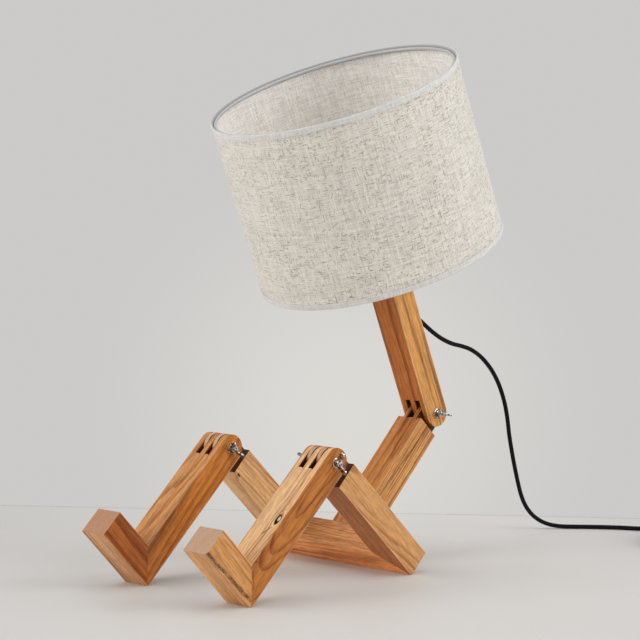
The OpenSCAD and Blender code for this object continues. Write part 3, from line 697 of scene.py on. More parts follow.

# Bar: its pale and dark wood and its sides' tint, which also carry painted light and shade, each
# face lighter or darker by how the light falls on it; its end grain; the pith's place and lean;
# the year rings' width and wander in mm; its seed, and how strong its streaks are.
bar_looks = {
    "hip_bar": (
        (0.796, 0.338, 0.11), (0.383, 0.115, 0.032), (0.758, 0.808, 0.9), (0.44, 0.25, 0.16),
        (6, 48), (0.02, 0.05), 2.4, 7, 3.1, 0.5,
    ),
    "thigh_left": (
        (0.349, 0.126, 0.035), (0.208, 0.056, 0.012), (1.57, 2.262, 3.112), (0.56, 0.34, 0.21),
        (40, 8), (0.05, 0.02), 3.0, 7, 5.2, 0.35,
    ),
    "thigh_right": (
        (0.754, 0.461, 0.202), (0.463, 0.217, 0.081), (0.892, 0.855, 0.902), (0.56, 0.34, 0.21),
        (-6, 55), (0.03, 0.06), 4.2, 11, 1.7, 0.3,
    ),
    "shin_left": (
        (0.69, 0.42, 0.21), (0.3, 0.128, 0.052), (0.62, 0.365, 0.14), (0.47, 0.27, 0.17),
        (-3, 1), (-0.11, -0.02), 3.2, 14, 8.4, 0.5,
    ),
    "shin_right": (
        (0.551, 0.255, 0.087), (0.286, 0.104, 0.031), (0.99, 0.76, 0.39), (0.47, 0.27, 0.17),
        (-30, 34), (-0.04, 0.07), 5.0, 14, 2.6, 0.4,
    ),
    "foot_left": (
        (0.622, 0.33, 0.125), (0.347, 0.14, 0.045), (0.89, 0.828, 0.731), (0.45, 0.305, 0.205),
        (30, -12), (0.06, 0.02), 3.2, 6, 6.3, 0.4,
    ),
    "foot_right": (
        (0.571, 0.299, 0.13), (0.265, 0.093, 0.03), (0.684, 0.418, 0.203), (0.42, 0.235, 0.145),
        (-26, 14), (0.03, 0.05), 3.8, 8, 4.9, 0.45,
    ),
    "torso_bar": (
        (0.566, 0.23, 0.06), (0.25, 0.069, 0.015), (1.06, 1.297, 1.65), (0.44, 0.25, 0.16),
        (5, 60), (0.01, 0.02), 2.6, 5, 7.7, 0.6,
    ),
    "neck_bar": (
        (0.47, 0.15, 0.029), (0.16, 0.036, 0.0065), (1.36, 2.1, 3.25), (0.44, 0.25, 0.16),
        (80, 8), (0, 0.03), 8, 6, 9.5, 0.75,
    ),
}
fingered, tongued = ("shin_left", "shin_right", "neck_bar", "torso_bar"), ("thigh_left", "thigh_right")
# Bar: its knot's middle, the way in, the branch, and the radius, in mm.
knots = {
    "shin_left": ((9.6, -13, -75.6), (0, 1, 0), (-1.21, 1, 0.67), 3.0),
    "thigh_right": ((15, -11.6, -23.5), (-1, 0, 0), (-1, 0, 0.2), 1.0),
}
bark_brown, painted_pit_light = (0.05, 0.02, 0.011), (0.78, 0.745, 0.69)
# Bar: its dark lines, from one place to another, their radius, breaks, depth and flecks.
streak_lines = {
    "torso_bar": [((15, -0.7, -16.6), (15, -6.5, -105), 1.3, 0.5, 0.5, 0)],
    "foot_left": [((15, -12, 57), (15, -8.9, -6.7), 2.3, 0.5, 0.9, 1)],
    "shin_left": [
        ((8, -13, -84), (2, -13, -92.5), 0.6, 0, 0.9, 0),
        ((15, -12, -121), (15, -10.5, -118.5), 1.0, 0, 0.8, 0),
        ((15, -8, -127), (15, 3, -137), 0.9, 0.2, 0.5, 0),
    ],
    "shin_right": [
        ((15, -15, -38), (15, -8, -128), 2.6, 0, 0.42, 0),
        ((15, -12, -88), (15, -3, -160), 7, 0, 0.3, 0),
    ],
    "thigh_left": [((-8, 13, -122), (-3, 13, -116), 1.0, 0, 0.85, 0)],
}
# The heart of the left shin's knot has shrunk into a ragged pit; its middle is painted near white, painted light
# showing in the hole.
hollow_knot, pit_depth, pit_taper, pit_above, pit_flare = "shin_left", 1.6, 0.8, -2, 1.08
pit_outline = [
    (-1.7, 6.6), (0.6, 4.9), (1.7, 1.2), (2.1, -1.4), (1.2, -4.6), (-0.6, -7.0), (-1.7, -5.2), (-2.5, -1.6),
    (-2.9, 1.4), (-2.4, 4.6),
]


def timber_skin(bar):
    """The material of one bar, with the bar's own grain, knots and dark lines."""
    made, shader, spot, normal = new_material("timber_" + bar, "Object", "Normal")
    tree, axes = made.node_tree, bar_frames[bar]
    pale, dark, side, end, pith, lean, ring, wander, seed, streaks = bar_looks[bar]
    plain = grown = spot.seen_from(axes.translation, axes.to_euler("XYZ"))
    if bar in knots:
        middle, face, branch, radius = knots[bar]
        eye = place_group(tree, knot, {
            "Place": plain, "Middle": Vector(middle) * mm, "Face": face, "Branch": branch,
            "Radius": radius * mm,
        })
        grown = eye["Place"]
    skin = place_group(tree, timber, {
        "Place": grown, "Normal": normal, "Half": (bar_w / 2, bar_t / 2, 0),
        "Grain": axes.to_3x3() @ Vector((0, 0, 1)), "Across": axes.to_3x3() @ Vector((1, 0, 0)),
        "Pale": pale, "Dark": dark, "Side": side, "End": end,
        "Pith": Vector((*pith, 0)) * mm, "Lean": (*lean, 0), "Ring": ring * mm, "Wander": wander * mm,
        "Seed": seed, "Streaks": streaks, "Joint": (bar in fingered) + 2 * (bar in tongued),
    })
    colour = skin["Color"]
    for start, end, radius, breaks, depth, flecks in streak_lines.get(bar, []):
        mask = place_group(tree, streak_line, {
            "Place": plain, "Start": Vector(start) * mm, "End": Vector(end) * mm, "Radius": radius * mm,
            "Breaks": breaks, "Flecks": flecks,
        })["Mask"]
        colour = (mask * depth).between(colour, bark_brown)
    if bar in knots:
        colour = eye["Rim"].between(colour, bark_brown)
    if bar == hollow_knot:
        colour = eye["Heart"].between(colour, painted_pit_light)
    fill(shader, {
        "Base Color": colour, "Roughness": skin["Roughness"], "Normal": skin["Height"].bump(*timber_relief),
        "Specular IOR Level": timber_gloss,
    })
    return made


def pit_cutter():
    """A closed tube along the hollow knot's branch, from above the face to the pit's bottom."""
    middle, _, branch, _ = knots[hollow_knot]
    points = [
        (Vector(middle) + Vector(branch) * run + size * Vector((x, 0, z))) * mm
        for run, size in ((pit_above, pit_flare), (pit_depth, pit_taper)) for x, z in pit_outline
    ]
    cutter = mesh_object("pit_cutter", points, prism_faces(len(pit_outline)), smooth=False)
    cutter.data.transform(bar_frames[hollow_knot])
    face_outwards(cutter)
    return cutter


for bar in bar_looks:
    cutter = pit_cutter() if bar == hollow_knot else None
    eased_node(bar + "_timber", bar, edge_round, timber_skin(bar), share=timber_share(bar), cutter=cutter)


def coat_nodes(finish, *names):
    """Gives carried-over nodes their material."""
    for name in names:
        coat(nodes[name], finish)


beech_pale, beech_dark = (0.62, 0.42, 0.24), (0.48, 0.28, 0.14)
coat_nodes(
    plain_finish("dowel_wood", (beech_pale, beech_dark, (900, 300, 300), 3), 0.6),
    "hip_dowels", "torso_dowels", "heel_dowels_left", "heel_dowels_right",
)

# ---------------------------------------------------------------- Wing bolts
# M4 wing bolts and wing nuts of cast zinc, with turned washers under their hubs. The wings are
# cast with the hub, and the thread is rolled. The bolts' heads are a duller zinc than the rest.
bolt_d, bolt_end, bolt_pitch, thread_depth = 4 * mm, 1.6 * mm, 0.7 * mm, 0.3 * mm
bolt_chamfer, nut_play = 0.4 * mm, 0.05 * mm
washer_d, washer_t, washer_play, washer_round = 9 * mm, 0.8 * mm, 0.07 * mm, 0.15 * mm
hub_d, hub_h, hub_taper = 7.6 * mm, 4.6 * mm, 1 * mm
wing_reach, wing_h, wing_t, wing_tip_r, wing_root = 10 * mm, 10.5 * mm, 1.7 * mm, 2.3 * mm, 1 * mm
wing_flare, tip_steps = 40, 12
cast_voxel, cast_smoothing = 0.28 * mm, 5
nut_seat = bar_w / 2 + washer_t
zinc_shadow = (0.055, 0.055, 0.06)


def zinc_plating(name, dark, bright):
    """Zinc in dark and bright patches, partly its cloudy plating and partly painted reflection, with painted shade
    and a painted dark reflection on the faces that don't look up.
    """
    made, shader, spot, normal = new_material(name, "Object", "Normal")
    mottle_and_reflection = spot.noise(420, 4)
    plating = mottle_and_reflection.ramp(0.42, 0.58).between(dark, bright)
    fill(shader, {
        "Base Color": normal.xyz()[2].ramp(0.0, 0.5, 0.5, 0).between(plating, zinc_shadow), "Metallic": 1.0,
        "Roughness": spot.noise(2600) * 0.22 + 0.17, "Normal": mottle_and_reflection.bump(0.12 * mm, 0.5),
    })
    return made


zinc = zinc_plating("zinc", (0.15, 0.15, 0.155), (0.93, 0.93, 0.92))
dull_zinc = zinc_plating("dull_zinc", (0.08, 0.08, 0.085), (0.42, 0.42, 0.42))


def new_maker(name, sizes):
    """A geometry tree with named sizes and a finish; returns it, its inputs and its output node."""
    return new_group(name, {"Float": sizes, "Material": "Finish"}, {"Geometry": "Mesh"}, "Geometry")


def finish_maker(shape, given, result):
    """Ends a geometry tree in one real mesh with its finish."""
    real = put(shape.id_data, "GeometryNodeRealizeInstances", {"Geometry": shape})
    coated = put(shape.id_data, "GeometryNodeSetMaterial", {"Geometry": real, "Material": given["Finish"]})
    fill(result, {"Mesh": coated})


def grow(name, maker_tree, place, finish, **sizes):
    """Runs a geometry tree with its named sizes, as a plain mesh at a place."""
    made = linked(name, bpy.data.meshes.new(name))
    maker = made.modifiers.new("maker", "NODES")
    maker.node_group = maker_tree
    sizes["Finish"] = finish
    for socket in maker_tree.interface.items_tree:
        if socket.in_out == "INPUT":
            maker[socket.identifier] = sizes[socket.name]
    settle(made)
    made.data.transform(place)
    return made


# A thread: a ridge that climbs round a rod from Z = 0.
thread_maker, given, result = new_maker("thread", "Radius Pitch Height Ridge")
climb = put(thread_maker, "GeometryNodeCurveSpiral", {
    "Resolution": 28, "Start Radius": given["Radius"], "End Radius": given["Radius"],
    "Height": given["Height"], "Rotations": given["Height"] / given["Pitch"],
})
ridge = put(thread_maker, "GeometryNodeCurvePrimitiveCircle", {"Resolution": 5, "Radius": given["Ridge"]})
thread = put(thread_maker, "GeometryNodeCurveToMesh", {
    "Curve": climb, "Profile Curve": ridge, "Fill Caps": True,
})
finish_maker(thread, given, result)


def join_pieces(name, *pieces):
    """Makes several pieces one object, and removes them."""
    shape = bmesh.new()
    finishes = []
    for piece in pieces:
        first = len(shape.faces)
        shape.from_mesh(piece.data)
        shape.faces.ensure_lookup_table()
        kept = [m for m in piece.data.materials if m]
        if kept and kept[0] not in finishes:
            finishes.append(kept[0])
        for face in shape.faces[first:]:
            face.material_index = finishes.index(kept[0]) if kept else 0
    data = bpy.data.meshes.new(name)
    shape.to_mesh(data)
    shape.free()
    for finish in finishes:
        data.materials.append(finish)
    for piece in pieces:
        bpy.data.objects.remove(piece)
    return linked(name, data)


def wing_outline():
    """One wing, from the hub out to its round tip and back, as (reach, height)."""
    tip = Vector((wing_reach - wing_tip_r, wing_h - wing_tip_r))
    yield from ((hub_d / 4, wing_root), (hub_d / 2, wing_root))
    for k in range(tip_steps + 1):
        q = math.pi * k / tip_steps - math.radians(wing_flare)
        yield tip.x + wing_tip_r * math.cos(q), tip.y + wing_tip_r * math.sin(q)
    yield hub_d / 4, hub_h


def wing_casting(name, place, finish, bore=None):
    """Hub and two wings cast in one, seated at the place's Z = 0."""
    hub_outline = [(0, 0), (hub_d / 2, 0), ((hub_d - hub_taper) / 2, hub_h), (0, hub_h)]
    pieces = [lathe(name + "_hub", hub_outline, Matrix(), 48, closed=False)]
    outline = list(wing_outline())
    for side in (1, -1):
        points = [(side * x, side * y, z) for y in (-wing_t / 2, wing_t / 2) for x, z in outline]
        pieces.append(mesh_object(name + "_wing", points, prism_faces(len(outline))))
    for piece in pieces:
        face_outwards(piece)
    casting = join_pieces(name, *pieces)
    modify(casting, "REMESH", mode="VOXEL", voxel_size=cast_voxel, use_smooth_shade=True)
    modify(casting, "SMOOTH", iterations=cast_smoothing)
    settle(casting)
    if bore:
        drill_outline = [(0, -hub_h), (bore, -hub_h), (bore, 3 * hub_h), (0, 3 * hub_h)]
        drill = lathe(name + "_drill", drill_outline, Matrix(), 32, closed=False)
        face_outwards(drill)
        cut_out(casting, drill)
    coat(casting, finish)
    casting.data.transform(place)
    return casting


def plate_outline(hole, rim, soft, thick):
    """The section of a washer with softened outer edges."""
    return [(hole, 0), (rim - soft, 0), (rim, soft), (rim, thick - soft), (rim - soft, thick), (hole, thick)]


shank_l, core_r = 2 * nut_seat + hub_h + bolt_end, bolt_d / 2 - thread_depth
thread_l = shank_l - bolt_chamfer
shank_outline = [(0, 0), (core_r, 0), (core_r, thread_l), (core_r - bolt_chamfer, shank_l), (0, shank_l)]
washer_outline = plate_outline(bolt_d / 2 + washer_play, washer_d / 2, washer_round, washer_t)
# Axis and names; the tilt of the bar that carries the bolt, and the turns of the nut and bolt.
wing_joints = (
    ("knee_left", "knee", "_left", shin_turn, 8, 101),
    ("knee_right", "knee", "_right", shin_turn, 40, 0),
    ("neck_tilt", "neck", "", neck_lean, 75, 0),
)
for axis, start, end, carrier_turn, nut_turn, bolt_turn in wing_joints:
    carrier = tilted(joint_at[axis], carrier_turn)
    head_seat = carrier @ shift(-nut_seat, 0, 0)
    shank_place = head_seat @ turn(90, "Y")
    bolt = join_pieces(
        start + "_wing_bolt" + end,
        wing_casting(axis + "_bolt_head", head_seat @ turn(bolt_turn, "X") @ turn(-90, "Y"), dull_zinc),
        turned(axis + "_shank", shank_outline, shank_place, zinc, 24, closed=False),
        grow(
            axis + "_thread", thread_maker, shank_place, zinc,
            Radius=core_r, Pitch=bolt_pitch, Height=thread_l, Ridge=thread_depth,
        ),
    )
    stand_for(bolt, start + "_bolt" + end)
    seats = [carrier @ shift(x, 0, 0) @ turn(90, "Y") for x in (-nut_seat, bar_w / 2)]
    rings = [turned(axis + "_washer", washer_outline, seat, zinc, 48, degrees=50) for seat in seats]
    stand_for(join_pieces(start + "_turned_washers" + end, *rings), start + "_washers" + end)
    nut_place = shift(*joint_at[axis]) @ shift(nut_seat, 0, 0) @ turn(nut_turn, "X") @ turn(90, "Y")
    nut = wing_casting(start + "_wing_nut" + end, nut_place, zinc, bolt_d / 2 + nut_play)
    stand_for(nut, start + "_nut" + end)

# ---------------------------------------------------------------- Lampholder
# A plain E14 holder of white plastic on a brass tube that is screwed into the neck. Its
# ceramic insert carries the contact and the screw shell; a ribbed ring clamps the shade.
neck_l = 185 * mm
tube_d, tube_bore, tube_in, tube_top, tube_ridge = 10 * mm, 7 * mm, 12 * mm, 7 * mm, 0.4 * mm
holder_d, holder_thread_d, holder_ridge, holder_h = 28 * mm, 26 * mm, 0.9 * mm, 48 * mm
cap_h, cap_wall, cap_floor, flange_h = 16 * mm, 1.6 * mm, 3 * mm, 4 * mm
mouth_h, mouth_wall, insert_high = 12 * mm, 2 * mm, cap_h - 1 * mm
contact_h, contact_d, contact_tip = 2.5 * mm, 4 * mm, 0.6 * mm
shell_h, shell_in_d, shell_out_d, shell_wall = 18 * mm, 14.2 * mm, 15.4 * mm, 0.3 * mm
clamp_h, clamp_d, clamp_ribs, rib_r = 6 * mm, 36 * mm, 30, 0.5 * mm
spider_z, spider_t = neck_l + cap_h + flange_h, 1.6 * mm
soft, play = 0.4 * mm, 0.05 * mm
metal = {"Metallic": 1.0}

holder_plastic = plain_finish(
    "holder_plastic", ((0.80, 0.78, 0.73), (0.76, 0.73, 0.67), 300, 3), (0.25, 0.2, 2400), (0.04 * mm, 0.4),
)
brass = plain_finish(
    "brass", ((0.80, 0.60, 0.26), (0.50, 0.33, 0.13), 350, 4), (0.15, 0.3, 350, 4), extra=metal,
)
glaze = plain_finish("glazed_ceramic", ((0.82, 0.80, 0.76), (0.45, 0.40, 0.34), 900, 2, 0.68, 0.76), 0.15)


def up(place, z):
    return place @ shift(0, 0, z)


def band(inner, outer, low, high, rows=1):
    """The section of a tube, with extra rows up its outer face."""
    return [(inner, low), *((outer, low + (high - low) * k / rows) for k in range(rows + 1)), (inner, high)]


def threaded(name, core, place, **sizes):
    """A turned core and the thread round it, as one piece."""
    thread = grow(name + "_thread", thread_maker, place, core.data.materials[0], **sizes)
    return join_pieces(name, core, thread)


at_holder = up(in_neck, neck_l)
hole, r = tube_d / 2 + play, holder_d / 2
cap_outline = [
    (hole, 0), (r - 3 * mm, 0), (r - 1.4 * mm, 0.9 * mm), (r - 0.3 * mm, 2.6 * mm), (r, 4 * mm),
    (r, cap_h - soft), (r - soft, cap_h), (r - cap_wall, cap_h), (r - cap_wall, cap_floor + 2 * mm),
    (r - cap_wall - 2 * mm, cap_floor), (hole, cap_floor),
]
stand_for(turned("holder_cap", cap_outline, at_holder, holder_plastic), "lampholder_cap")

flange_top, r_out, mouth_r = cap_h + flange_h, holder_thread_d / 2, holder_thread_d / 2 - mouth_wall
r_in, r_core = shell_out_d / 2 + 0.1 * mm, r_out - holder_ridge
body_outline = [
    (r_in, cap_h), (r, cap_h), (r, flange_top - soft), (r - soft, flange_top), (r_core, flange_top),
    (r_core, holder_h - soft), (r_core - soft, holder_h), (mouth_r, holder_h), (mouth_r, holder_h - mouth_h),
    (r_in, holder_h - mouth_h),
]
holder_body = threaded(
    "holder_body", turned("holder_core", body_outline, at_holder, holder_plastic),
    up(at_holder, flange_top + 1.2 * mm),
    Radius=r_core, Pitch=2.5 * mm, Height=holder_h - flange_top - 3 * mm, Ridge=0.85 * mm,
)
stand_for(holder_body, "lampholder_body")

# Ribs round a ring, standing on its outer face.
rib_maker, given, result = new_maker("grip_ribs", "Radius Height Width Count")
round_line = put(rib_maker, "GeometryNodeMeshCircle", {"Vertices": given["Count"], "Radius": given["Radius"]})
upright = put(rib_maker, "GeometryNodeMeshCylinder", {
    "Vertices": 8, "Radius": given["Width"], "Depth": given["Height"],
})
ribs = put(rib_maker, "GeometryNodeInstanceOnPoints", {"Points": round_line, "Instance": upright})
finish_maker(ribs, given, result)

ring_z, band_r = spider_z + spider_t, clamp_d / 2 - rib_r
clamp_outline = plate_outline(r_out + play, band_r, soft, clamp_h)
clamp_ring = join_pieces(
    "ribbed_clamp_ring", turned("clamp_band", clamp_outline, up(in_neck, ring_z), holder_plastic),
    grow(
        "clamp_grip", rib_maker, up(in_neck, ring_z + clamp_h / 2), holder_plastic,
        Radius=band_r, Height=clamp_h - 2 * soft, Width=rib_r, Count=clamp_ribs,
    ),
)
stand_for(clamp_ring, "clamp_ring")

at_insert = up(at_holder, insert_high)
contact_r = contact_d / 2
contact_outline = [
    (0, 0), (contact_r, 0), (contact_r, contact_h - contact_tip), (contact_r / 2, contact_h), (0, contact_h),
]
contact = turned("centre_contact", contact_outline, at_insert, brass, 32, closed=False)
stand_for(contact, "lampholder_contact")

shell_r = shell_in_d / 2 + 0.2 * mm
screw_shell = threaded(
    "screw_shell", turned("shell_core", band(shell_r, shell_r + shell_wall, 0, shell_h), at_insert, brass),
    up(at_holder, insert_high + 1 * mm),
    Radius=shell_r + shell_wall / 2, Pitch=2.8 * mm, Height=shell_h - 2 * mm, Ridge=0.24 * mm,
)
stand_for(screw_shell, "lampholder_shell")

tube_place, tube_l, tube_core = up(at_holder, -tube_in), tube_in + tube_top, tube_d / 2 - tube_ridge
brass_tube = threaded(
    "brass_tube", turned("tube_core", band(tube_bore / 2, tube_core, 0, tube_l), tube_place, brass, 48),
    up(tube_place, 0.5 * mm), Radius=tube_core, Pitch=1 * mm, Height=tube_l - 1 * mm, Ridge=0.38 * mm,
)
stand_for(brass_tube, "threaded_tube")


eased_node("hex_tube_nut", "tube_nut", 0.25 * mm, brass, 50)
eased_node("ceramic_insert", "lampholder_insert", 0.5 * mm, glaze)

# ---------------------------------------------------------------- Shade carrier
# A pressed washer with three wire arms, welded to the lower of two wire rings. All of it is
# grey enamelled steel; the upper ring only keeps the shade round.
shade_d, shade_h, shade_low = 232 * mm, 168 * mm, 159 * mm
fabric_t, liner_t, trim_h, trim_t = 0.7 * mm, 0.4 * mm, 5.5 * mm, 0.6 * mm
wire_d, wire_sides, arm_count, arm_steps = 3 * mm, 14, 3, 8
weld_r, weld_h, weld_steps = 0.85, 0.7, 10
fabric_r = shade_d / 2 - trim_t
liner_r = fabric_r - fabric_t
wall_r = liner_r - liner_t
ring_r, ring_inset = wall_r - trim_t - wire_d / 2, trim_t + wire_d / 2 + 1 * mm
lower_ring_z, upper_ring_z = shade_low + ring_inset, shade_low + shade_h - ring_inset
spider_r = r_out + 7.1 * mm
enamel = plain_finish(
    "grey_enamel", ((0.46, 0.46, 0.465), (0.39, 0.39, 0.395), 60, 2), (0.22, 0.2, 1100), (0.06 * mm, 0.5),
)


def ring_outline():
    for k in range(wire_sides):
        q = 2 * math.pi * k / wire_sides
        yield ring_r + wire_d / 2 * math.cos(q), wire_d / 2 * math.sin(q)


for ring, z in (("lower_ring", lower_ring_z), ("upper_ring", upper_ring_z)):
    stand_for(turned(ring + "_wire", ring_outline(), up(in_neck, z), enamel, 128, degrees=60), ring)


def weld_outline():
    for k in range(weld_steps + 1):
        q = math.pi * (k / weld_steps - 0.5)
        yield weld_r * wire_d * math.cos(q) * (0 < k < weld_steps), weld_h * wire_d * math.sin(q)


spider_outline = plate_outline(r_out + 0.1 * mm, spider_r, 0.3 * mm, spider_t)
spider_pieces = [turned("spider_washer", spider_outline, up(in_neck, spider_z), enamel)]
arm_start = Vector((spider_r - 1 * mm, 0, spider_z + spider_t / 2))
arm_end = Vector((ring_r, 0, lower_ring_z))
for k in range(arm_count):
    around = in_neck @ turn(90 + 360 * k / arm_count, "Z")
    line = [around @ arm_start.lerp(arm_end, step / arm_steps) for step in range(arm_steps + 1)]
    arm = tube("spider_arm", line, wire_d / 2, wire_sides)
    arm.data.materials.append(enamel)
    weld = turned("weld", weld_outline(), around @ shift(*arm_end), enamel, 16, closed=False, degrees=80)
    spider_pieces += [arm, weld]
stand_for(join_pieces("shade_carrier", *spider_pieces), "shade_spider")

# ---------------------------------------------------------------- Shade cloth
# Coarse natural linen bonded to a stiff white lining and rolled into a drum over two
# wire rings. A tape is folded over each edge, and the cloth overlaps at the back.
yarn, tape_yarn, cloth_gloss = 0.6 * mm, 0.42 * mm, 0.15
cloth_rise, tape_rise = (0.25 * mm, 0.6), (0.08 * mm, 0.35)
tape_inner_shade, tape_turn = (0.37, 0.37, 0.375), 1.2 * mm
shade_steps, cloth_rows, lap_steps, fold_steps = 192, 12, 6, 8
lap_w, lap_t, lap_sunk = 10 * mm, 0.35 * mm, 0.2 * mm
at_shade = up(in_neck, shade_low)
shade_back = at_shade @ turn(90, "Z")

# Plain weave of uneven threads on a map in metres: each thread is a row of its own, with
# thick brown slubs here and there, in both directions.
weave, given, result = new_group(
    "linen_weave", {"Vector": "Map", "Float": "Thread Slubs", "Color": "Ground Slub"},
    {"Color": "Color", "Float": "Height"},
)
sway = given["Map"].noise((35, 35, 0), 1) * (2 * mm)
warp, weft = [(run + sway) / given["Thread"] for run in given["Map"].xyz()[:2]]
patches = (given["Map"].noise((28, 28, 0)) - 0.5) * 0.12
slubs, tints, rises = [], [], []
for row_of, run_of, seed, rarity in ((warp, weft, 3.7, 0.655), (weft, warp, 41.3, 0.64)):
    row = row_of.do("FLOOR")
    lumps = (row * 7.31).joined(run_of * 0.11, seed).noise(1, 1.5) + patches
    slubs.append(lumps.ramp(rarity - 0.06, rarity + 0.10))
    tints.append((row * 3.17).joined(run_of * 0.03, seed).noise(1, 3))
    rises.append(((row_of.do("FRACT") - 0.5) * math.pi).do("COSINE"))
slub = most(*slubs) * given["Slubs"]
ground = given["Ground"] * (tints[0] + tints[1]).ramp(0.74, 1.26, 0.80, 1.10)
over = (warp.do("FLOOR") + weft.do("FLOOR")).do("PINGPONG", 1.0)
fill(result, {
    "Color": slub.between(ground, given["Slub"]),
    "Height": slub * 0.7 + over * rises[1] + (1 - over) * rises[0],
})


def woven(name, thread, slubs, ground, slub_colour):
    """A material with the weave's inputs set; returns it, its shader, its maps and the weave."""
    made, shader, cloth_map, spot = new_material(name, "UV", "Object")
    return made, shader, cloth_map, spot, place_group(made.node_tree, weave, {
        "Map": cloth_map, "Thread": thread, "Slubs": slubs, "Ground": ground, "Slub": slub_colour,
    })


linen, shader, cloth_map, spot, cloth = woven("linen", yarn, 0.8, (0.70, 0.666, 0.602), (0.22, 0.175, 0.12))
fill(shader, {
    "Base Color": cloth["Color"], "Roughness": 0.9, "Normal": cloth["Height"].bump(*cloth_rise),
    "Sheen Weight": 0.25, "Sheen Roughness": 0.5, "Specular IOR Level": cloth_gloss,
})
# The lining's pale ground is partly its own white and partly painted light that comes through the cloth.
lining, shader, cloth_map, spot, cloth = woven("lining", yarn, 0.55, (0.83, 0.805, 0.765), (0.44, 0.36, 0.27))
fill(shader, {"Base Color": cloth["Color"], "Roughness": spot.noise(220) * 0.2 + 0.42})
tape, shader, cloth_map, spot, cloth = woven(
    "edge_tape", tape_yarn, 0.0, (0.61, 0.60, 0.58), (0.5, 0.5, 0.49),
)
# The tape's turned-in part, inside the rim, is painted grey: painted shade.
turned_in = cloth_map.xyz()[1].ramp(trim_h, trim_h + tape_turn)
fill(shader, {
    "Base Color": turned_in.between(cloth["Color"], tape_inner_shade), "Roughness": 0.85,
    "Normal": cloth["Height"].bump(*tape_rise), "Specular IOR Level": cloth_gloss,
})

fabric_outline = band(liner_r, fabric_r, trim_t, shade_h - trim_t, cloth_rows)
fabric = turned("linen_drum", fabric_outline, shade_back, linen, shade_steps, degrees=50)

# Where the cloth meets itself at the back, its end is lapped over its start and glued.
lap_low, lap_high = trim_h - 0.5 * mm, shade_h - trim_h + 0.5 * mm
wide, tall = lap_steps + 1, cloth_rows + 1
lap_map = [
    (lap_w * k / lap_steps, lap_low + (lap_high - lap_low) * row / cloth_rows)
    for row in range(tall) for k in range(wide)
]
lap_points = [
    shade_back @ Matrix.Rotation((u - lap_w / 2) / fabric_r, 4, "Z") @ Vector((r, 0, z))
    for r in (fabric_r - lap_sunk, fabric_r + lap_t) for u, z in lap_map
]
layer, top = len(lap_map), cloth_rows * wide
lap_faces = []
for row in range(cloth_rows):
    for a in range(row * wide, row * wide + lap_steps):
        face = (a, a + wide, a + wide + 1, a + 1)
        lap_faces += [face, [layer + n for n in (a, *face[:0:-1])]]
rim = [
    *range(wide), *range(wide + lap_steps, layer, wide),
    *range(top + lap_steps - 1, top - 1, -1), *range(top - wide, 0, -wide),
]
lap_faces += [(a, b, b + layer, a + layer) for a, b in zip(rim, [*rim[1:], rim[0]])]
lap = mesh_object("linen_lap", lap_points, lap_faces)
map_faces(lap, [lap_map[n % layer] for face in lap_faces for n in face])
dressed(lap, linen, 50)
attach(lap, "head")

liner_outline = band(wall_r, liner_r, trim_t, shade_h - trim_t)
stand_for(turned("lining_drum", liner_outline, shade_back, lining, shade_steps, degrees=50), "shade_liner")
stand_for(fabric, "shade_fabric")


def trim_outline():
    """The section of a tape folded over the wall's edge, with a rounded fold and edges."""
    outer, inner, edge = shade_d / 2, wall_r - trim_t, trim_h - 0.15 * trim_t
    middle, half = (outer + inner) / 2, (outer - inner) / 2
    yield from ((outer - 0.75 * trim_t, trim_h), (outer - 0.2 * trim_t, edge))
    for k in range(fold_steps + 1):
        q = -math.pi * k / fold_steps
        yield middle + half * math.cos(q), half + half * math.sin(q)
    yield from ((inner + 0.2 * trim_t, edge), (inner + 0.75 * trim_t, trim_h))
    yield from ((wall_r, trim_h - 0.3 * trim_t), (wall_r, trim_t), (fabric_r, trim_t))
    yield fabric_r, trim_h - 0.3 * trim_t


for trim, place in (("lower_trim", shade_back), ("upper_trim", up(at_shade, shade_h) @ turn(180, "X"))):
    stand_for(turned(trim + "_tape", trim_outline(), place, tape, shade_steps, degrees=50), trim)

# ---------------------------------------------------------------- Bulb
# A small golf-ball bulb: opal glass on a crimped metal cap with a rolled E14 thread and a
# soldered tip.
bulb_d, bulb_l, bulb_cap_d, bulb_cap_h, glass_t = 45 * mm, 78 * mm, 13.8 * mm, 24 * mm, 1 * mm
globe_steps, globe_low, globe_arc = 24, -56, 146
at_bulb = up(at_holder, insert_high + contact_h)
cap_metal = plain_finish(
    "bulb_cap_metal", ((0.80, 0.80, 0.80), (0.58, 0.58, 0.57), 700, 3), (0.18, 0.25, 700, 3), extra=metal,
)
opal = plain_finish(
    "opal_glass", ((0.88, 0.87, 0.84), (0.82, 0.80, 0.76), 90, 2), (0.25, 0.2, 1800),
    extra={"Transmission Weight": 0.35},
)

r, thread_r = bulb_cap_d / 2, bulb_cap_d / 2 - 0.45 * mm
bulb_cap_outline = [
    (0, 0), (1.6 * mm, 0), (2.5 * mm, 0.7 * mm), (2.5 * mm, 1.6 * mm), (3 * mm, 1.6 * mm),
    (thread_r, 3.6 * mm), (thread_r, bulb_cap_h - 5 * mm), (r, bulb_cap_h - 4 * mm), (r, bulb_cap_h),
    (0, bulb_cap_h),
]
bulb_cap = threaded(
    "bulb_screw_cap", turned("bulb_cap_core", bulb_cap_outline, at_bulb, cap_metal, 48, closed=False),
    up(at_bulb, 4.6 * mm),
    Radius=thread_r - 0.1 * mm, Pitch=2.8 * mm, Height=bulb_cap_h - 10.5 * mm, Ridge=0.5 * mm,
)
stand_for(bulb_cap, "bulb_cap")


def globe_outline(r, throat_r):
    """Half outline of the glass: a narrow neck that flares into a ball."""
    yield from ((throat_r, bulb_cap_h), (throat_r + 0.4 * mm, bulb_cap_h + 2.2 * mm))
    for k in range(globe_steps + 1):
        q = math.radians(globe_low + globe_arc * k / globe_steps)
        yield r * math.cos(q) * (k < globe_steps), bulb_l - bulb_d / 2 + r * math.sin(q)


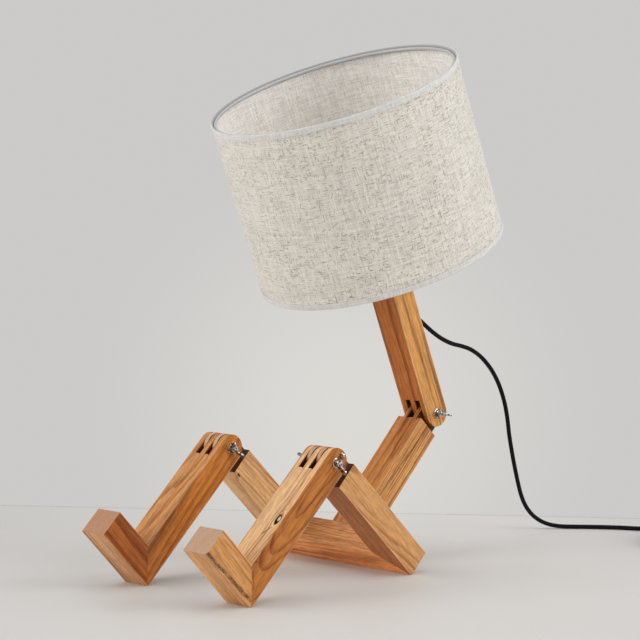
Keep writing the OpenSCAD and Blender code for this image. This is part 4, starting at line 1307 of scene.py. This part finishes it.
throat_r = bulb_cap_d / 2 - 0.3 * mm
outer = list(globe_outline(bulb_d / 2, throat_r))
inner = list(globe_outline(bulb_d / 2 - glass_t, throat_r - glass_t))
globe = turned("opal_globe", [*inner[::-1], *outer], at_bulb, opal, closed=False, degrees=60)
stand_for(globe, "bulb_glass")

# ---------------------------------------------------------------- Switch
# A rocker switch on the cord: two halves of black plastic held by two screws, a glossier
# rocker between two bosses, and two brass contacts.
housing_top, housing_round, shortest_rim, level_gap = 16.9 * mm, 1.2 * mm, 0.6 * mm, 0.01 * mm
switch_plastic = plain_finish(
    "switch_plastic", ((0.012, 0.012, 0.012), (0.022, 0.022, 0.023), 1500, 2), (0.35, 0.25, 1500),
    (0.05 * mm, 0.6),
)
rocker_plastic = plain_finish(
    "rocker_plastic", ((0.03, 0.03, 0.03), (0.045, 0.045, 0.046), 250, 3), (0.12, 0.2, 250, 3),
)


def long_edges(shortest):
    """Rounds only edges longer than a length, so that the rims of round holes stay crisp."""
    return lambda edge: edge.calc_length() > shortest


def housing_rims(edge):
    """Rounds the housing's rims: its round ends are made of short edges, which stay as they are."""
    low, high = sorted(vert.co.z for vert in edge.verts)
    at_rim = edge.verts[0].co.z > housing_top or edge.verts[0].co.z < 0.1 * mm
    return high - low < level_gap and at_rim and edge.calc_length() > shortest_rim


for name, node in (("switch_lower_half", "switch_base"), ("switch_upper_half", "switch_cover")):
    eased_node(name, node, housing_round, switch_plastic, share=housing_rims)
eased_node("switch_tilting_rocker", "switch_rocker", 0.35 * mm, rocker_plastic, share=long_edges(2 * mm))
coat_nodes(brass, "switch_contacts")
coat_nodes(zinc, "switch_screws")

# ---------------------------------------------------------------- Plug
# A moulded two-pin plug of the cord's own black rubber, cast round the cord's end. It has two
# round nickelled pins.
plug_rubber = plain_finish(
    "plug_rubber", ((0.010, 0.010, 0.010), (0.019, 0.019, 0.020), 1300, 2), (0.4, 0.2, 1300),
    (0.06 * mm, 0.6),
)
nickel = plain_finish(
    "nickel", ((0.76, 0.74, 0.70), (0.60, 0.58, 0.55), (2500, 120, 2500), 2), (0.12, 0.25, (2500, 120, 2500)),
    extra=metal,
)
plug = eased_node("moulded_plug", "plug_body", 1.6 * mm, plug_rubber, 20, long_edges(5 * mm))
pins = eased_node("nickel_pins", "plug_pins", 0.2 * mm, nickel, 60, lambda edge: 0)

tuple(cord_line[0])
sum((b - a).length for a, b in zip(cord_line, cord_line[1:]))
